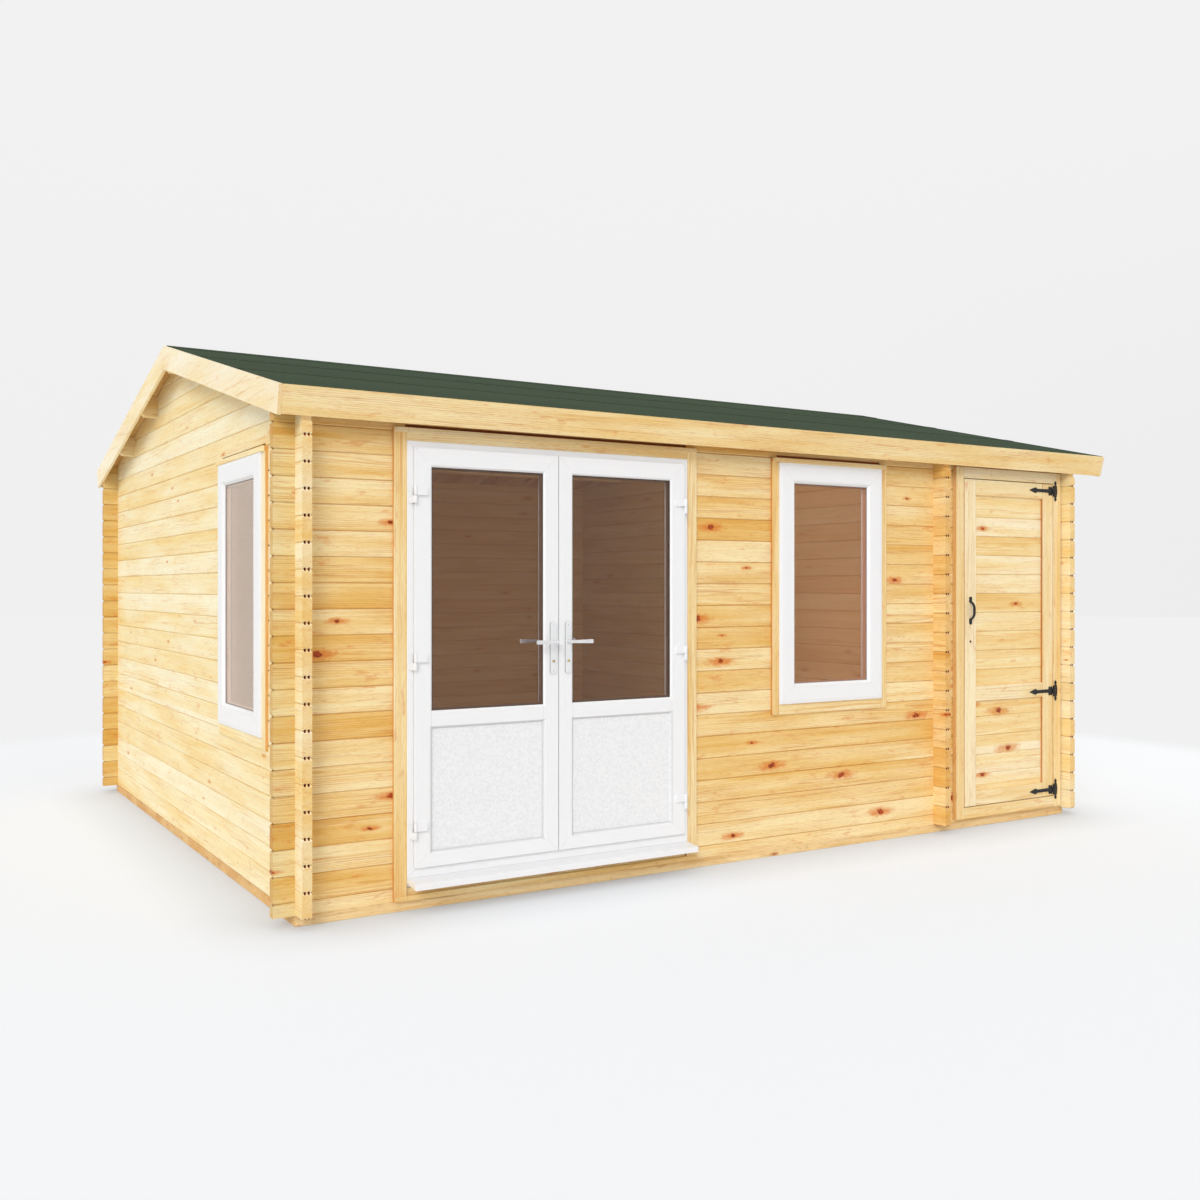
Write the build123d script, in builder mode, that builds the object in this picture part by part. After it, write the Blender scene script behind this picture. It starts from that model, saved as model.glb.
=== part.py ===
from build123d import *
from math import atan2, cos, floor, sin, tan
import os

os.makedirs("parts", exist_ok=True)

# ---- driving dimensions, mm (+X right along the front, +Y to the rear, +Z up) ----
wall_length = 5026            # outer faces of the two gables
wall_depth = 4116             # outer faces of the front and rear walls
log_height = 114              # cover height of one log
log_thickness = 44
log_end = 96                  # how far the log ends run past each corner
bearer_height = 47
bearer_width = 60
joint_bevel = 5               # V joint cut on both faces of the logs
tongue_gap_width = 8          # the open ends of the double tongue and groove
tongue_gap_height = 12
tongue_gap_depth = 20
tongue_pitch = 17
end_bevel = 9                 # V cut across the log ends at every joint

verge_left = 110              # roof past the left gable
verge_right = 248
eaves_overhang = 133
eaves_height = 2297
ridge_height = 2824
roof_board = 19
felt_thickness = 3
edge_board = 18               # thickness of fascias and bargeboards
fascia_width = 126
barge_width = 130
purlin_width = 60
purlin_depth = 150            # from the roof's top surface down to the high side
purlin_pitch = 718
purlin_chamfer = 18           # lower corner of each purlin end

partition_offset = 3854       # left face of the partition from the left gable
floor_board = 19
floor_top = 95
joist_width = 45

architrave = 14               # thickness of the outside and inside casings
door_casing_width = 63
window_casing_width = 45
window_casing_foot = 57
drip_bar = 29                 # how far the bar over each head stands off the logs
drip_bar_bevel = 12
settling_gap = 16             # open slot left over each drip bar
frame_clearance = 3           # between a frame's sides and the cut logs

# double door
door_offset = 506             # left edge of the frame from the left gable
door_width = 1541
door_base = 147               # underside of the frame
door_head = 2112
door_casing_head = 2148
door_bar_head = 2170
frame_past = 6                # frame's back behind the logs' inner faces
frame_proud = 20              # frame face in front of the logs
frame_member = 46
frame_reveal = 29             # face of the frame left showing round the leaves
frame_rail_reveal = 45        # the same along the bottom
moving_gap = 5                # between a moving piece and what it closes on
leaf_proud = 16               # leaf flange in front of the frame face
leaf_body_depth = 55
stile_outer = 85
stile_inner = 78
leaf_top_rail = 86
mid_rail_low = 817
mid_rail_high = 895
bottom_rail = 68
glass_thickness = 24
glass_setback = 14            # glass face behind the flange face
bead_bevel = 8
cill_nose = 97                # cill nose in front of the frame face
cill_nose_top = 138
cill_nose_base = 110
cill_back_base = 124
door_batten_thickness = 22
door_batten_top = 70
hinge_heights = (359, 1117, 1868)
hinge_height = 74
hinge_flag_height = 38        # the moving knuckle and its flag, at the top of the barrel
hinge_flag_reach = 58         # pin line to the flag's tip
hinge_flag_depth = 12         # flag in front of the flange face
hinge_parting = 3             # between the moving knuckle and the fixed one below it
hinge_barrel = 8              # radius
hinge_pin = 4                 # radius
hinge_clearance = 1           # barrel to the flange face
pin_clearance = 0.3
lever_height = 1193
lever_length = 124            # heel to tip
lever_heel = 10               # lever behind the spindle line
lever_thickness = 13
lever_neck = 15               # height at the heel
lever_tip = 21                # height at the tip
lever_rounding = 5
lever_reach = 46              # lever's centre line in front of the flange face
lever_inner_reach = 58        # the inside lever's centre line behind the leaf
spindle = 8                   # radius
plate_width = 34
plate_thickness = 6
plate_top = 95                # backplate above the lever
plate_bottom = 154            # backplate below the lever
key_drop = 93

# windows
window_width = 755
window_height = 1310
window_front_offset = 2659
window_front_base = 820
window_side_offset = 438
window_side_base = 763
window_member = 108
window_proud = 28
window_depth = 70
window_glass_setback = 18
window_bead = 12              # bevel of the bead round the glass
bead_joint = 18               # line between bead and frame, from the glass edge
bead_joint_width = 2
window_edge_slope = 18        # shallow slope round the frame's outer edge
window_edge_drop = 4
window_bar_height = 25        # drip bar over the window

# store door
store_clearance = 8           # frame to the right gable's inner face
store_width = 956
store_base = 60
store_head = 2180
store_member = 66
store_hinge_member = 72       # the frame's post on the hinge side
store_lip = 20                # how far the frame laps the logs
store_proud = 30
store_stop = 14               # stop bead behind the leaf
store_leaf_thickness = 40
store_stile = 99
store_top_rail = 96
store_mid_low = 764
store_mid_high = 854
store_bottom_rail = 89
store_board = 18
store_board_setback = 14
store_hinge_heights = (170, 797, 2066)
strap_length = 227
strap_thickness = 4
strap_width = 22
strap_root_height = 56
strap_head_height = 37
store_plate_width = 26
store_plate_height = 130      # with its finials
store_plate_finial = 27       # length of each finial
store_plate_swell = 3         # extra width in the middle
store_barrel = 7              # radius
store_pin = 3.5               # radius
pull_base = 1230
pull_length = 168
pull_reach = 30               # middle of the grip in front of the leaf
pull_width = 19
pull_thickness = 11
pull_pad_width = 22
pull_pad_height = 38
keyhole_drop = 103            # keyhole plate under the pull

# ---- derived positions ----
left = verge_left - (verge_left + wall_length + verge_right) / 2
right = left + wall_length
front = -wall_depth / 2
rear = wall_depth / 2
roof_left = left - verge_left
roof_right = right + verge_right
slope = atan2(ridge_height - eaves_height, wall_depth / 2 + eaves_overhang)
slope_length = (wall_depth / 2 + eaves_overhang) / cos(slope)
roof_skin = felt_thickness + roof_board
skin_drop = roof_skin / cos(slope)
half_log = log_height / 2
lap = log_height / 4
partition_left = left + partition_offset
partition_right = partition_left + log_thickness
inner_front = front + log_thickness
inner_rear = rear - log_thickness


# ---- helpers used inside an open part ----
def block(x0, x1, y0, y1, z0, z1, mode=Mode.ADD):
    with Locations(((x0 + x1) / 2, (y0 + y1) / 2, (z0 + z1) / 2)):
        Box(x1 - x0, y1 - y0, z1 - z0, mode=mode)


def under_roof(y):
    # height of the roof boards' underside
    return ridge_height - abs(y) * tan(slope) - skin_drop


def log_outline(near, far, low, high, first_joint):
    # section of stacked logs between two faces, with a V at every joint
    joints = []
    z = first_joint
    while z < high - joint_bevel:
        if z > low + joint_bevel:
            joints.append(z)
        z += log_height
    at_low = abs((low - first_joint) / log_height - round((low - first_joint) / log_height)) < 0.001
    at_high = abs((high - first_joint) / log_height - round((high - first_joint) / log_height)) < 0.001
    b = joint_bevel
    up = [(near + b, low), (near, low + b)] if at_low else [(near, low)]
    for z in joints:
        up += [(near, z - b), (near + b, z), (near, z + b)]
    up += [(near, high - b), (near + b, high)] if at_high else [(near, high)]
    down = [(near + far - u, z) for u, z in reversed(up)]
    return up + down


def long_logs(x0, x1, y0, low, high):
    # logs lying along X, outer or inner face at y0
    outline = log_outline(y0, y0 + log_thickness, low, high, bearer_height + half_log)
    with BuildSketch(Plane.YZ.offset(x0)) as section:
        Polygon(*outline, align=None)
    extrude(section.sketch, amount=x1 - x0)


def cross_logs(y0, y1, x0, low, high):
    # logs lying along Y
    outline = log_outline(x0, x0 + log_thickness, low, high, bearer_height)
    with BuildSketch(Plane.XZ.offset(-y1)) as section:
        Polygon(*outline, align=None)
    extrude(section.sketch, amount=y1 - y0)


def cut_laps(x0, y0, low, high, owner):
    # heights in a crossing taken by the other wall's logs
    z = bearer_height + half_log + (0 if owner == "long" else half_log) - log_height
    spots = []
    while z - lap < high:
        if z + lap > low:
            spots.append((x0 + log_thickness / 2, y0 + log_thickness / 2, z))
        z += log_height
    with Locations(*spots):
        Box(log_thickness, log_thickness, half_log, mode=Mode.SUBTRACT)


def tongue_ends(plane, inward, centre, low, high, first_joint):
    # open tongue and groove ends in an end face
    z = first_joint
    spots = []
    while z < high:
        if z > low + tongue_gap_height:
            spots += [(centre - tongue_pitch / 2, z), (centre + tongue_pitch / 2, z)]
        z += log_height
    with BuildSketch(plane) as gaps:
        with Locations(*spots):
            Rectangle(tongue_gap_width, tongue_gap_height)
    extrude(gaps.sketch, amount=inward * tongue_gap_depth, mode=Mode.SUBTRACT)


def end_bites(plane, end, inward, low, high, first_joint):
    # V cut across the ends of stacked logs, on a plane along their near face
    z = first_joint
    with BuildSketch(plane) as bites:
        while z <= high:
            if z >= low:
                Polygon((end, z - end_bevel), (end + inward * end_bevel, z), (end, z + end_bevel),
                        (end - inward, z), align=None)
            z += log_height
    extrude(bites.sketch, amount=log_thickness, mode=Mode.SUBTRACT)


def trim_to_roof():
    add(roof_void.part, mode=Mode.SUBTRACT)


def slope_plane(side, x):
    # x runs down the slope from the ridge, y square up from the roof
    if side == "front":
        return Plane(origin=(x, 0, ridge_height), x_dir=(0, -cos(slope), -sin(slope)), z_dir=(-1, 0, 0))
    return Plane(origin=(x, 0, ridge_height), x_dir=(0, cos(slope), -sin(slope)), z_dir=(1, 0, 0))


def slope_layer(side, x0, x1, top, base, end):
    # a layer of one slope, cut plumb at the ridge
    points = [(-top * tan(slope), top), (end, top), (end, base), (-base * tan(slope), base)]
    with BuildSketch(slope_plane(side, x1 if side == "front" else x0)) as section:
        Polygon(*points, align=None)
    extrude(section.sketch, amount=x1 - x0)


# ---- space taken by the roof: cuts wall tops and the log ends under the eaves ----
board_end = slope_length - edge_board
with BuildPart() as roof_void:
    for side in ("front", "rear"):
        slope_layer(side, roof_left - 10, roof_right + 10, 600, -roof_skin, slope_length + 400)
        with BuildSketch(slope_plane(side, roof_right + 10 if side == "front" else roof_left - 10)):
            with Locations((board_end + 200, -fascia_width / 2)):
                Rectangle(400, fascia_width + 40)
        extrude(amount=roof_right - roof_left + 20)
        slope_layer(side, roof_left - 10, roof_left + edge_board, 10, -barge_width, board_end + 1)


# ---- purlins ----
def purlin_section(y):
    inner = abs(y) - purlin_width / 2
    base = ridge_height - max(inner, 0) * tan(slope) - purlin_depth
    y0, y1 = y - purlin_width / 2, y + purlin_width / 2
    if y == 0:
        return [(y0, base), (y1, base), (y1, under_roof(y1)), (0, under_roof(0)), (y0, under_roof(y0))]
    return [(y0, base), (y1, base), (y1, under_roof(y1)), (y0, under_roof(y0))]


purlin_lines = [-2 * purlin_pitch, -purlin_pitch, 0, purlin_pitch, 2 * purlin_pitch]
with BuildPart() as purlins:
    for y in purlin_lines:
        with BuildSketch(Plane.YZ.offset(roof_left + edge_board)):
            Polygon(*purlin_section(y), align=None)
        extrude(amount=roof_right - roof_left - 2 * edge_board)
    chamfer(purlins.edges().filter_by(Axis.Y), purlin_chamfer)
purlins.part.label = "purlins"
export_step(purlins.part, "parts/purlins.step")

# ---- foundation bearers ----
with BuildPart() as bearers:
    block(left, right, front, front + bearer_width, 0, bearer_height)
    block(left, right, rear - bearer_width, rear, 0, bearer_height)
    block(left, left + bearer_width, front, rear, 0, bearer_height)
    block(right - bearer_width, right, front, rear, 0, bearer_height)
    block(partition_left, partition_left + bearer_width, front, rear, 0, bearer_height)
bearers.part.label = "bearers"
export_step(bearers.part, "parts/bearers.step")

# ---- openings in the walls ----
door_left = left + door_offset
door_right = door_left + door_width
door_void_top = door_bar_head + settling_gap
door_void_base = bearer_height + half_log
window_left = left + window_front_offset
window_right = window_left + window_width
window_front_top = window_front_base + window_height
window_void_top = window_front_top + window_bar_height + settling_gap
side_front = front + window_side_offset
side_rear = side_front + window_width
window_side_top = window_side_base + window_height
side_void_top = window_side_top + window_bar_height + settling_gap
store_right = right - log_thickness - store_clearance
store_left = store_right - store_width
store_void_left = store_left + store_lip
store_void_right = store_right - store_lip
store_void_base = store_base + store_lip
store_void_top = store_head - store_lip
door_void_left = door_left - frame_clearance
door_void_right = door_right + frame_clearance
window_void_left = window_left - frame_clearance
window_void_right = window_right + frame_clearance
side_void_front = side_front - frame_clearance
side_void_rear = side_rear + frame_clearance
# the walls are whole courses up to the lowest head, with one piece over all the openings
long_joint = bearer_height + half_log
lowest_head = min(door_void_top, window_void_top, store_void_top)
top_course = long_joint + floor((lowest_head - long_joint) / log_height) * log_height
gable_top_course = bearer_height + floor((side_void_top - bearer_height) / log_height) * log_height

# ---- front wall ----
end_left = left - log_end
end_right = right + log_end
end_front = front - log_end
end_rear = rear + log_end
wall_top = ridge_height


def long_end(x, inward, y, low, high):
    tongue_ends(Plane.YZ.offset(x), inward, y + log_thickness / 2, low, high, long_joint)
    end_bites(Plane.XZ.offset(-y - log_thickness), x, inward, low, high, long_joint)


def cross_end(y, inward, x, low, high):
    tongue_ends(Plane.XZ.offset(-y), inward, x + log_thickness / 2, low, high, bearer_height)
    end_bites(Plane.YZ.offset(x), y, -inward, low, high, bearer_height)


with BuildPart() as front_wall_left:
    long_logs(end_left, door_void_left, front, bearer_height, top_course)
    cut_laps(left, front, bearer_height, top_course, "long")
    long_end(end_left, 1, front, bearer_height, top_course)
front_wall_left.part.label = "front_wall_left"
export_step(front_wall_left.part, "parts/front_wall_left.step")

with BuildPart() as front_wall_middle:
    long_logs(door_void_right, window_void_left, front, bearer_height, top_course)
front_wall_middle.part.label = "front_wall_middle"
export_step(front_wall_middle.part, "parts/front_wall_middle.step")

with BuildPart() as front_wall_under_window:
    long_logs(window_void_left, window_void_right, front, bearer_height, window_front_base)
front_wall_under_window.part.label = "front_wall_under_window"
export_step(front_wall_under_window.part, "parts/front_wall_under_window.step")

with BuildPart() as front_wall_right:
    long_logs(window_void_right, store_void_left, front, bearer_height, top_course)
    cut_laps(partition_left, front, bearer_height, top_course, "long")
front_wall_right.part.label = "front_wall_right"
export_step(front_wall_right.part, "parts/front_wall_right.step")

with BuildPart() as front_wall_corner:
    long_logs(store_void_right, end_right, front, bearer_height, top_course)
    cut_laps(right - log_thickness, front, bearer_height, top_course, "long")
    long_end(end_right, -1, front, bearer_height, top_course)
front_wall_corner.part.label = "front_wall_corner"
export_step(front_wall_corner.part, "parts/front_wall_corner.step")

with BuildPart() as front_sills:
    long_logs(door_void_left, door_void_right, front, bearer_height, door_void_base)
    long_logs(store_void_left, store_void_right, front, bearer_height, store_void_base)
front_sills.part.label = "front_sills"
export_step(front_sills.part, "parts/front_sills.step")

with BuildPart() as front_wall_top:
    long_logs(end_left, end_right, front, top_course, wall_top)
    for x in (left, partition_left, right - log_thickness):
        cut_laps(x, front, top_course, wall_top, "long")
    block(door_void_left, door_void_right, front, inner_front, top_course, door_void_top, mode=Mode.SUBTRACT)
    block(window_void_left, window_void_right, front, inner_front, top_course, window_void_top,
          mode=Mode.SUBTRACT)
    block(store_void_left, store_void_right, front, inner_front, top_course, store_void_top,
          mode=Mode.SUBTRACT)
    long_end(end_left, 1, front, top_course - log_height, top_course + 2 * log_height)
    long_end(end_right, -1, front, top_course - log_height, top_course + 2 * log_height)
    trim_to_roof()
front_wall_top.part.label = "front_wall_top"
export_step(front_wall_top.part, "parts/front_wall_top.step")

# ---- rear wall ----
with BuildPart() as rear_wall:
    long_logs(end_left, end_right, inner_rear, bearer_height, wall_top)
    for x in (left, partition_left, right - log_thickness):
        cut_laps(x, inner_rear, bearer_height, wall_top, "long")
    long_end(end_left, 1, inner_rear, bearer_height, wall_top)
    long_end(end_right, -1, inner_rear, bearer_height, wall_top)
    trim_to_roof()
rear_wall.part.label = "rear_wall"
export_step(rear_wall.part, "parts/rear_wall.step")

# ---- left gable ----
with BuildPart() as left_gable_front:
    cross_logs(end_front, side_void_front, left, bearer_height, gable_top_course)
    cut_laps(left, front, bearer_height, gable_top_course, "cross")
    cross_end(end_front, -1, left, bearer_height - log_height, gable_top_course)
left_gable_front.part.label = "left_gable_front"
export_step(left_gable_front.part, "parts/left_gable_front.step")

with BuildPart() as left_gable_under_window:
    cross_logs(side_void_front, side_void_rear, left, bearer_height, window_side_base)
left_gable_under_window.part.label = "left_gable_under_window"
export_step(left_gable_under_window.part, "parts/left_gable_under_window.step")

with BuildPart() as left_gable_rear:
    cross_logs(side_void_rear, end_rear, left, bearer_height, gable_top_course)
    cut_laps(left, inner_rear, bearer_height, gable_top_course, "cross")
    cross_end(end_rear, 1, left, bearer_height - log_height, gable_top_course)
left_gable_rear.part.label = "left_gable_rear"
export_step(left_gable_rear.part, "parts/left_gable_rear.step")

with BuildPart() as left_gable_top:
    cross_logs(end_front, end_rear, left, gable_top_course, wall_top)
    for y in (front, inner_rear):
        cut_laps(left, y, gable_top_course, wall_top, "cross")
    block(left, left + log_thickness, side_void_front, side_void_rear, gable_top_course, side_void_top,
          mode=Mode.SUBTRACT)
    cross_end(end_front, -1, left, gable_top_course - log_height, wall_top)
    cross_end(end_rear, 1, left, gable_top_course - log_height, wall_top)
    add(purlins.part, mode=Mode.SUBTRACT)
    trim_to_roof()
left_gable_top.part.label = "left_gable_top"
export_step(left_gable_top.part, "parts/left_gable_top.step")


# ---- right gable and partition ----
def whole_cross_wall(x):
    cross_logs(end_front, end_rear, x, bearer_height, wall_top)
    for y in (front, inner_rear):
        cut_laps(x, y, bearer_height, wall_top, "cross")
    cross_end(end_front, -1, x, bearer_height - log_height, wall_top)
    cross_end(end_rear, 1, x, bearer_height - log_height, wall_top)
    add(purlins.part, mode=Mode.SUBTRACT)
    trim_to_roof()


with BuildPart() as right_gable:
    whole_cross_wall(right - log_thickness)
right_gable.part.label = "right_gable"
export_step(right_gable.part, "parts/right_gable.step")

with BuildPart() as partition_wall:
    whole_cross_wall(partition_left)
partition_wall.part.label = "partition_wall"
export_step(partition_wall.part, "parts/partition_wall.step")

# ---- roof ----
inner_edge = roof_left + edge_board
outer_edge = roof_right - edge_board
for side in ("front", "rear"):
    with BuildPart() as roof_boards:
        slope_layer(side, inner_edge, outer_edge, -felt_thickness, -roof_skin, board_end)
    roof_boards.part.label = "roof_boards_" + side
    export_step(roof_boards.part, "parts/roof_boards_" + side + ".step")

with BuildPart() as roof_felt:
    for side in ("front", "rear"):
        slope_layer(side, inner_edge, outer_edge, 0, -felt_thickness, board_end)
roof_felt.part.label = "roof_felt"
export_step(roof_felt.part, "parts/roof_felt.step")

with BuildPart() as fascias:
    for side in ("front", "rear"):
        with BuildSketch(slope_plane(side, outer_edge if side == "front" else inner_edge)):
            with Locations((board_end + edge_board / 2, -fascia_width / 2)):
                Rectangle(edge_board, fascia_width)
        extrude(amount=outer_edge - inner_edge)
fascias.part.label = "fascias"
export_step(fascias.part, "parts/fascias.step")

with BuildPart() as bargeboards:
    for side in ("front", "rear"):
        for x in (roof_left, outer_edge):
            slope_layer(side, x, x + edge_board, 0, -barge_width, slope_length)
bargeboards.part.label = "bargeboards"
export_step(bargeboards.part, "parts/bargeboards.step")

# ---- floors on joists ----
def joisted_floor(x0, x1, spaces):
    block(x0, x1, inner_front, inner_rear, floor_top - floor_board, floor_top)
    first, last = x0 + bearer_width, x1 - bearer_width
    for i in range(spaces + 1):
        x = first + (last - first - joist_width) * i / spaces
        block(x, x + joist_width, front + bearer_width, rear - bearer_width, 0, floor_top - floor_board)


with BuildPart() as floor_main:
    joisted_floor(left + log_thickness, partition_left, 6)
floor_main.part.label = "floor_main"
export_step(floor_main.part, "parts/floor_main.step")

with BuildPart() as floor_store:
    joisted_floor(partition_right, right - log_thickness, 2)
floor_store.part.label = "floor_store"
export_step(floor_store.part, "parts/floor_store.step")

# ---- double door: frame and cill ----
door_mid = (door_left + door_right) / 2
frame_face = front - frame_proud
frame_back = inner_front + frame_past
flange_face = frame_face - leaf_proud
flange_back = frame_face - moving_gap
body_back = flange_back + leaf_body_depth
leaf_low = door_base + frame_rail_reveal
leaf_high = door_head - frame_reveal
frame_low_member = frame_rail_reveal + frame_member - frame_reveal


def bevel_rim(x0, x1, z0, z1, y, size, toward):
    # sloping rim cut round an opening's edge, widest at the face y
    with BuildSketch(Plane.XZ.offset(-y)) as mouth:
        with Locations(((x0 + x1) / 2, (z0 + z1) / 2)):
            Rectangle(x1 - x0 + 2 * size, z1 - z0 + 2 * size)
    extrude(mouth.sketch, amount=-toward * size, taper=45, mode=Mode.SUBTRACT)


with BuildPart() as door_frame:
    block(door_left, door_right, frame_face, frame_back, door_base, door_head)
    block(door_left + frame_member, door_right - frame_member, frame_face, frame_back,
          door_base + frame_low_member, door_head - frame_member, mode=Mode.SUBTRACT)
door_frame.part.label = "door_frame"
export_step(door_frame.part, "parts/door_frame.step")

with BuildPart() as door_cill:
    with BuildSketch(Plane.YZ.offset(door_left)):
        Polygon((frame_back, door_base), (frame_face, door_base), (frame_face - cill_nose, cill_nose_top),
                (frame_face - cill_nose, cill_nose_base), (frame_face - cill_nose + 12, cill_nose_base),
                (front - door_batten_thickness - 2, cill_back_base), (front, cill_back_base),
                (front, door_void_base), (frame_back, door_void_base), align=None)
    extrude(amount=door_width)
door_cill.part.label = "door_cill"
export_step(door_cill.part, "parts/door_cill.step")


# ---- casings round the openings ----
def casing(x0, x1, low, high, width, y, depth):
    # posts either side of an opening
    block(x0 - width, x0, y, y + depth, low, high)
    block(x1, x1 + width, y, y + depth, low, high)


def bar(x0, x1, low, high, depth):
    # drip bar with bevelled ends on the front wall
    b = drip_bar_bevel
    with BuildSketch(Plane.XY.offset(low)) as plan:
        Polygon((x0, front), (x1, front), (x1, front - depth + b), (x1 - b, front - depth),
                (x0 + b, front - depth), (x0, front - depth + b), align=None)
    extrude(plan.sketch, amount=high - low)


casing_left = door_left - door_casing_width
casing_right = door_right + door_casing_width
with BuildPart() as door_trim:
    casing(door_left, door_right, door_batten_top, door_casing_head, door_casing_width,
           front - architrave, architrave)
    block(door_left, door_right, front - architrave, front, door_head, door_casing_head)
    bar(casing_left, casing_right, door_casing_head, door_bar_head, drip_bar)
    block(casing_left, casing_right, front - door_batten_thickness, front, bearer_height, door_batten_top)
    casing(door_left, door_right, floor_top, door_void_top + door_casing_width, door_casing_width,
           inner_front, architrave)
    block(door_left, door_right, inner_front, inner_front + architrave, door_head,
          door_void_top + door_casing_width)
door_trim.part.label = "door_trim"
export_step(door_trim.part, "parts/door_trim.step")

# ---- double door: leaves ----
axis_y = flange_face - hinge_barrel - hinge_clearance
left_edge = door_left + frame_reveal
right_edge = door_right - frame_reveal
left_meeting = door_mid - moving_gap / 2
right_meeting = door_mid + moving_gap / 2
body_inset = frame_member - frame_reveal + moving_gap
body_low_inset = frame_low_member - frame_rail_reveal + moving_gap
glass_low = mid_rail_high
glass_high = leaf_high - leaf_top_rail
panel_low = leaf_low + bottom_rail
panel_high = mid_rail_low


def leaf(x0, x1, hinge_side):
    # flange, body, glass opening and lower panel of one leaf
    left_stile = stile_outer if hinge_side == "left" else stile_inner
    right_stile = stile_inner if hinge_side == "left" else stile_outer
    body0 = x0 + (body_inset if hinge_side == "left" else 0)
    body1 = x1 - (0 if hinge_side == "left" else body_inset)
    g0, g1 = x0 + left_stile, x1 - right_stile
    block(x0, x1, flange_face, flange_back, leaf_low, leaf_high)
    block(body0, body1, flange_back, body_back, leaf_low + body_low_inset, leaf_high - body_inset)
    block(g0, g1, flange_face, body_back, glass_low, glass_high, mode=Mode.SUBTRACT)
    for y0, y1 in ((flange_face, flange_face + glass_setback), (body_back - glass_setback, body_back)):
        block(g0, g1, y0, y1, panel_low, panel_high, mode=Mode.SUBTRACT)
    for low, high in ((glass_low, glass_high), (panel_low, panel_high)):
        bevel_rim(g0, g1, low, high, flange_face, bead_bevel, 1)
        bevel_rim(g0, g1, low, high, body_back, bead_bevel, -1)


def spindle_hole(x):
    with BuildSketch(Plane.XZ.offset(-body_back)) as hole:
        with Locations((x, lever_height)):
            Circle(spindle + moving_gap / 2)
    extrude(hole.sketch, amount=body_back - flange_face, mode=Mode.SUBTRACT)


left_spindle = left_meeting - stile_inner / 2 + 10
right_spindle = right_meeting + stile_inner / 2 + 10
glass_front = flange_face + glass_setback
with BuildPart() as left_leaf:
    leaf(left_edge, left_meeting, "left")
    spindle_hole(left_spindle)
left_leaf.part.label = "left_leaf"
export_step(left_leaf.part, "parts/left_leaf.step")

with BuildPart() as right_leaf:
    leaf(right_meeting, right_edge, "right")
    spindle_hole(right_spindle)
right_leaf.part.label = "right_leaf"
export_step(right_leaf.part, "parts/right_leaf.step")

with BuildPart() as left_leaf_glass:
    block(left_edge + stile_outer, left_meeting - stile_inner, glass_front, glass_front + glass_thickness,
          glass_low, glass_high)
left_leaf_glass.part.label = "left_leaf_glass"
export_step(left_leaf_glass.part, "parts/left_leaf_glass.step")

with BuildPart() as right_leaf_glass:
    block(right_meeting + stile_inner, right_edge - stile_outer, glass_front, glass_front + glass_thickness,
          glass_low, glass_high)
right_leaf_glass.part.label = "right_leaf_glass"
export_step(right_leaf_glass.part, "parts/right_leaf_glass.step")


# ---- double door: hinges ----
def tube(x, y, z0, z1, radius):
    with BuildSketch(Plane.XY.offset(z0)) as disc:
        with Locations((x, y)):
            Circle(radius)
    extrude(disc.sketch, amount=z1 - z0)


def fixed_hinge(axis_x, away, z):
    # away points from the pin line to the frame: -1 left, 1 right
    top, low = z + hinge_height / 2, z - hinge_height / 2
    knuckle_top = top - hinge_flag_height - hinge_parting
    x0, x1 = sorted((axis_x + away * 5, axis_x + away * (frame_reveal - 2)))
    block(x0, x1, frame_face - 5, frame_face, low, top)
    w0, w1 = sorted((axis_x + away * 5, axis_x + away * 12))
    block(w0, w1, axis_y, frame_face - 5, low, knuckle_top)
    tube(axis_x, axis_y, low, knuckle_top, hinge_barrel)
    tube(axis_x, axis_y, low, top, hinge_pin)


def moving_hinge(axis_x, away, z):
    # away points from the pin line into the leaf
    top = z + hinge_height / 2
    low = top - hinge_flag_height
    flag_face = flange_face - hinge_flag_depth
    x0, x1 = sorted((axis_x + away * 14, axis_x + away * hinge_flag_reach))
    block(x0, x1, flag_face, flange_face, low, top)
    w0, w1 = sorted((axis_x, axis_x + away * 14))
    block(w0, w1, flag_face, flange_face - 4, low, top)
    tube(axis_x, axis_y, low, top, hinge_barrel)
    with BuildSketch(Plane.XY.offset(low)) as bore:
        with Locations((axis_x, axis_y)):
            Circle(hinge_pin + pin_clearance)
    extrude(bore.sketch, amount=hinge_flag_height, mode=Mode.SUBTRACT)


def backplate(x, face, key_face):
    # plate flat on a face of the leaf, from face to face - plate_thickness, with its key cylinder
    with BuildSketch(Plane.XZ.offset(-face)) as plate:
        with Locations((x, lever_height + (plate_top - plate_bottom) / 2)):
            RectangleRounded(plate_width, plate_top + plate_bottom, 12)
        with Locations((x, lever_height)):
            Circle(spindle + pin_clearance, mode=Mode.SUBTRACT)
    extrude(plate.sketch, amount=plate_thickness)
    with BuildSketch(Plane.XZ.offset(-key_face)) as barrel:
        with Locations((x, lever_height - key_drop)):
            Circle(8)
    extrude(barrel.sketch, amount=3)


with BuildPart() as door_hinges_fixed:
    for z in hinge_heights:
        fixed_hinge(left_edge, -1, z)
        fixed_hinge(right_edge, 1, z)
door_hinges_fixed.part.label = "door_hinges_fixed"
export_step(door_hinges_fixed.part, "parts/door_hinges_fixed.step")

leaves = (("left", left_edge, 1, left_spindle), ("right", right_edge, -1, right_spindle))
for name, axis_x, away, x in leaves:
    with BuildPart() as fittings:
        for z in hinge_heights:
            moving_hinge(axis_x, away, z)
        backplate(x, flange_face, flange_face - plate_thickness)
        backplate(x, body_back + plate_thickness, body_back + plate_thickness + 3)
    fittings.part.label = name + "_leaf_fittings"
    export_step(fittings.part, "parts/" + name + "_leaf_fittings.step")


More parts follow.
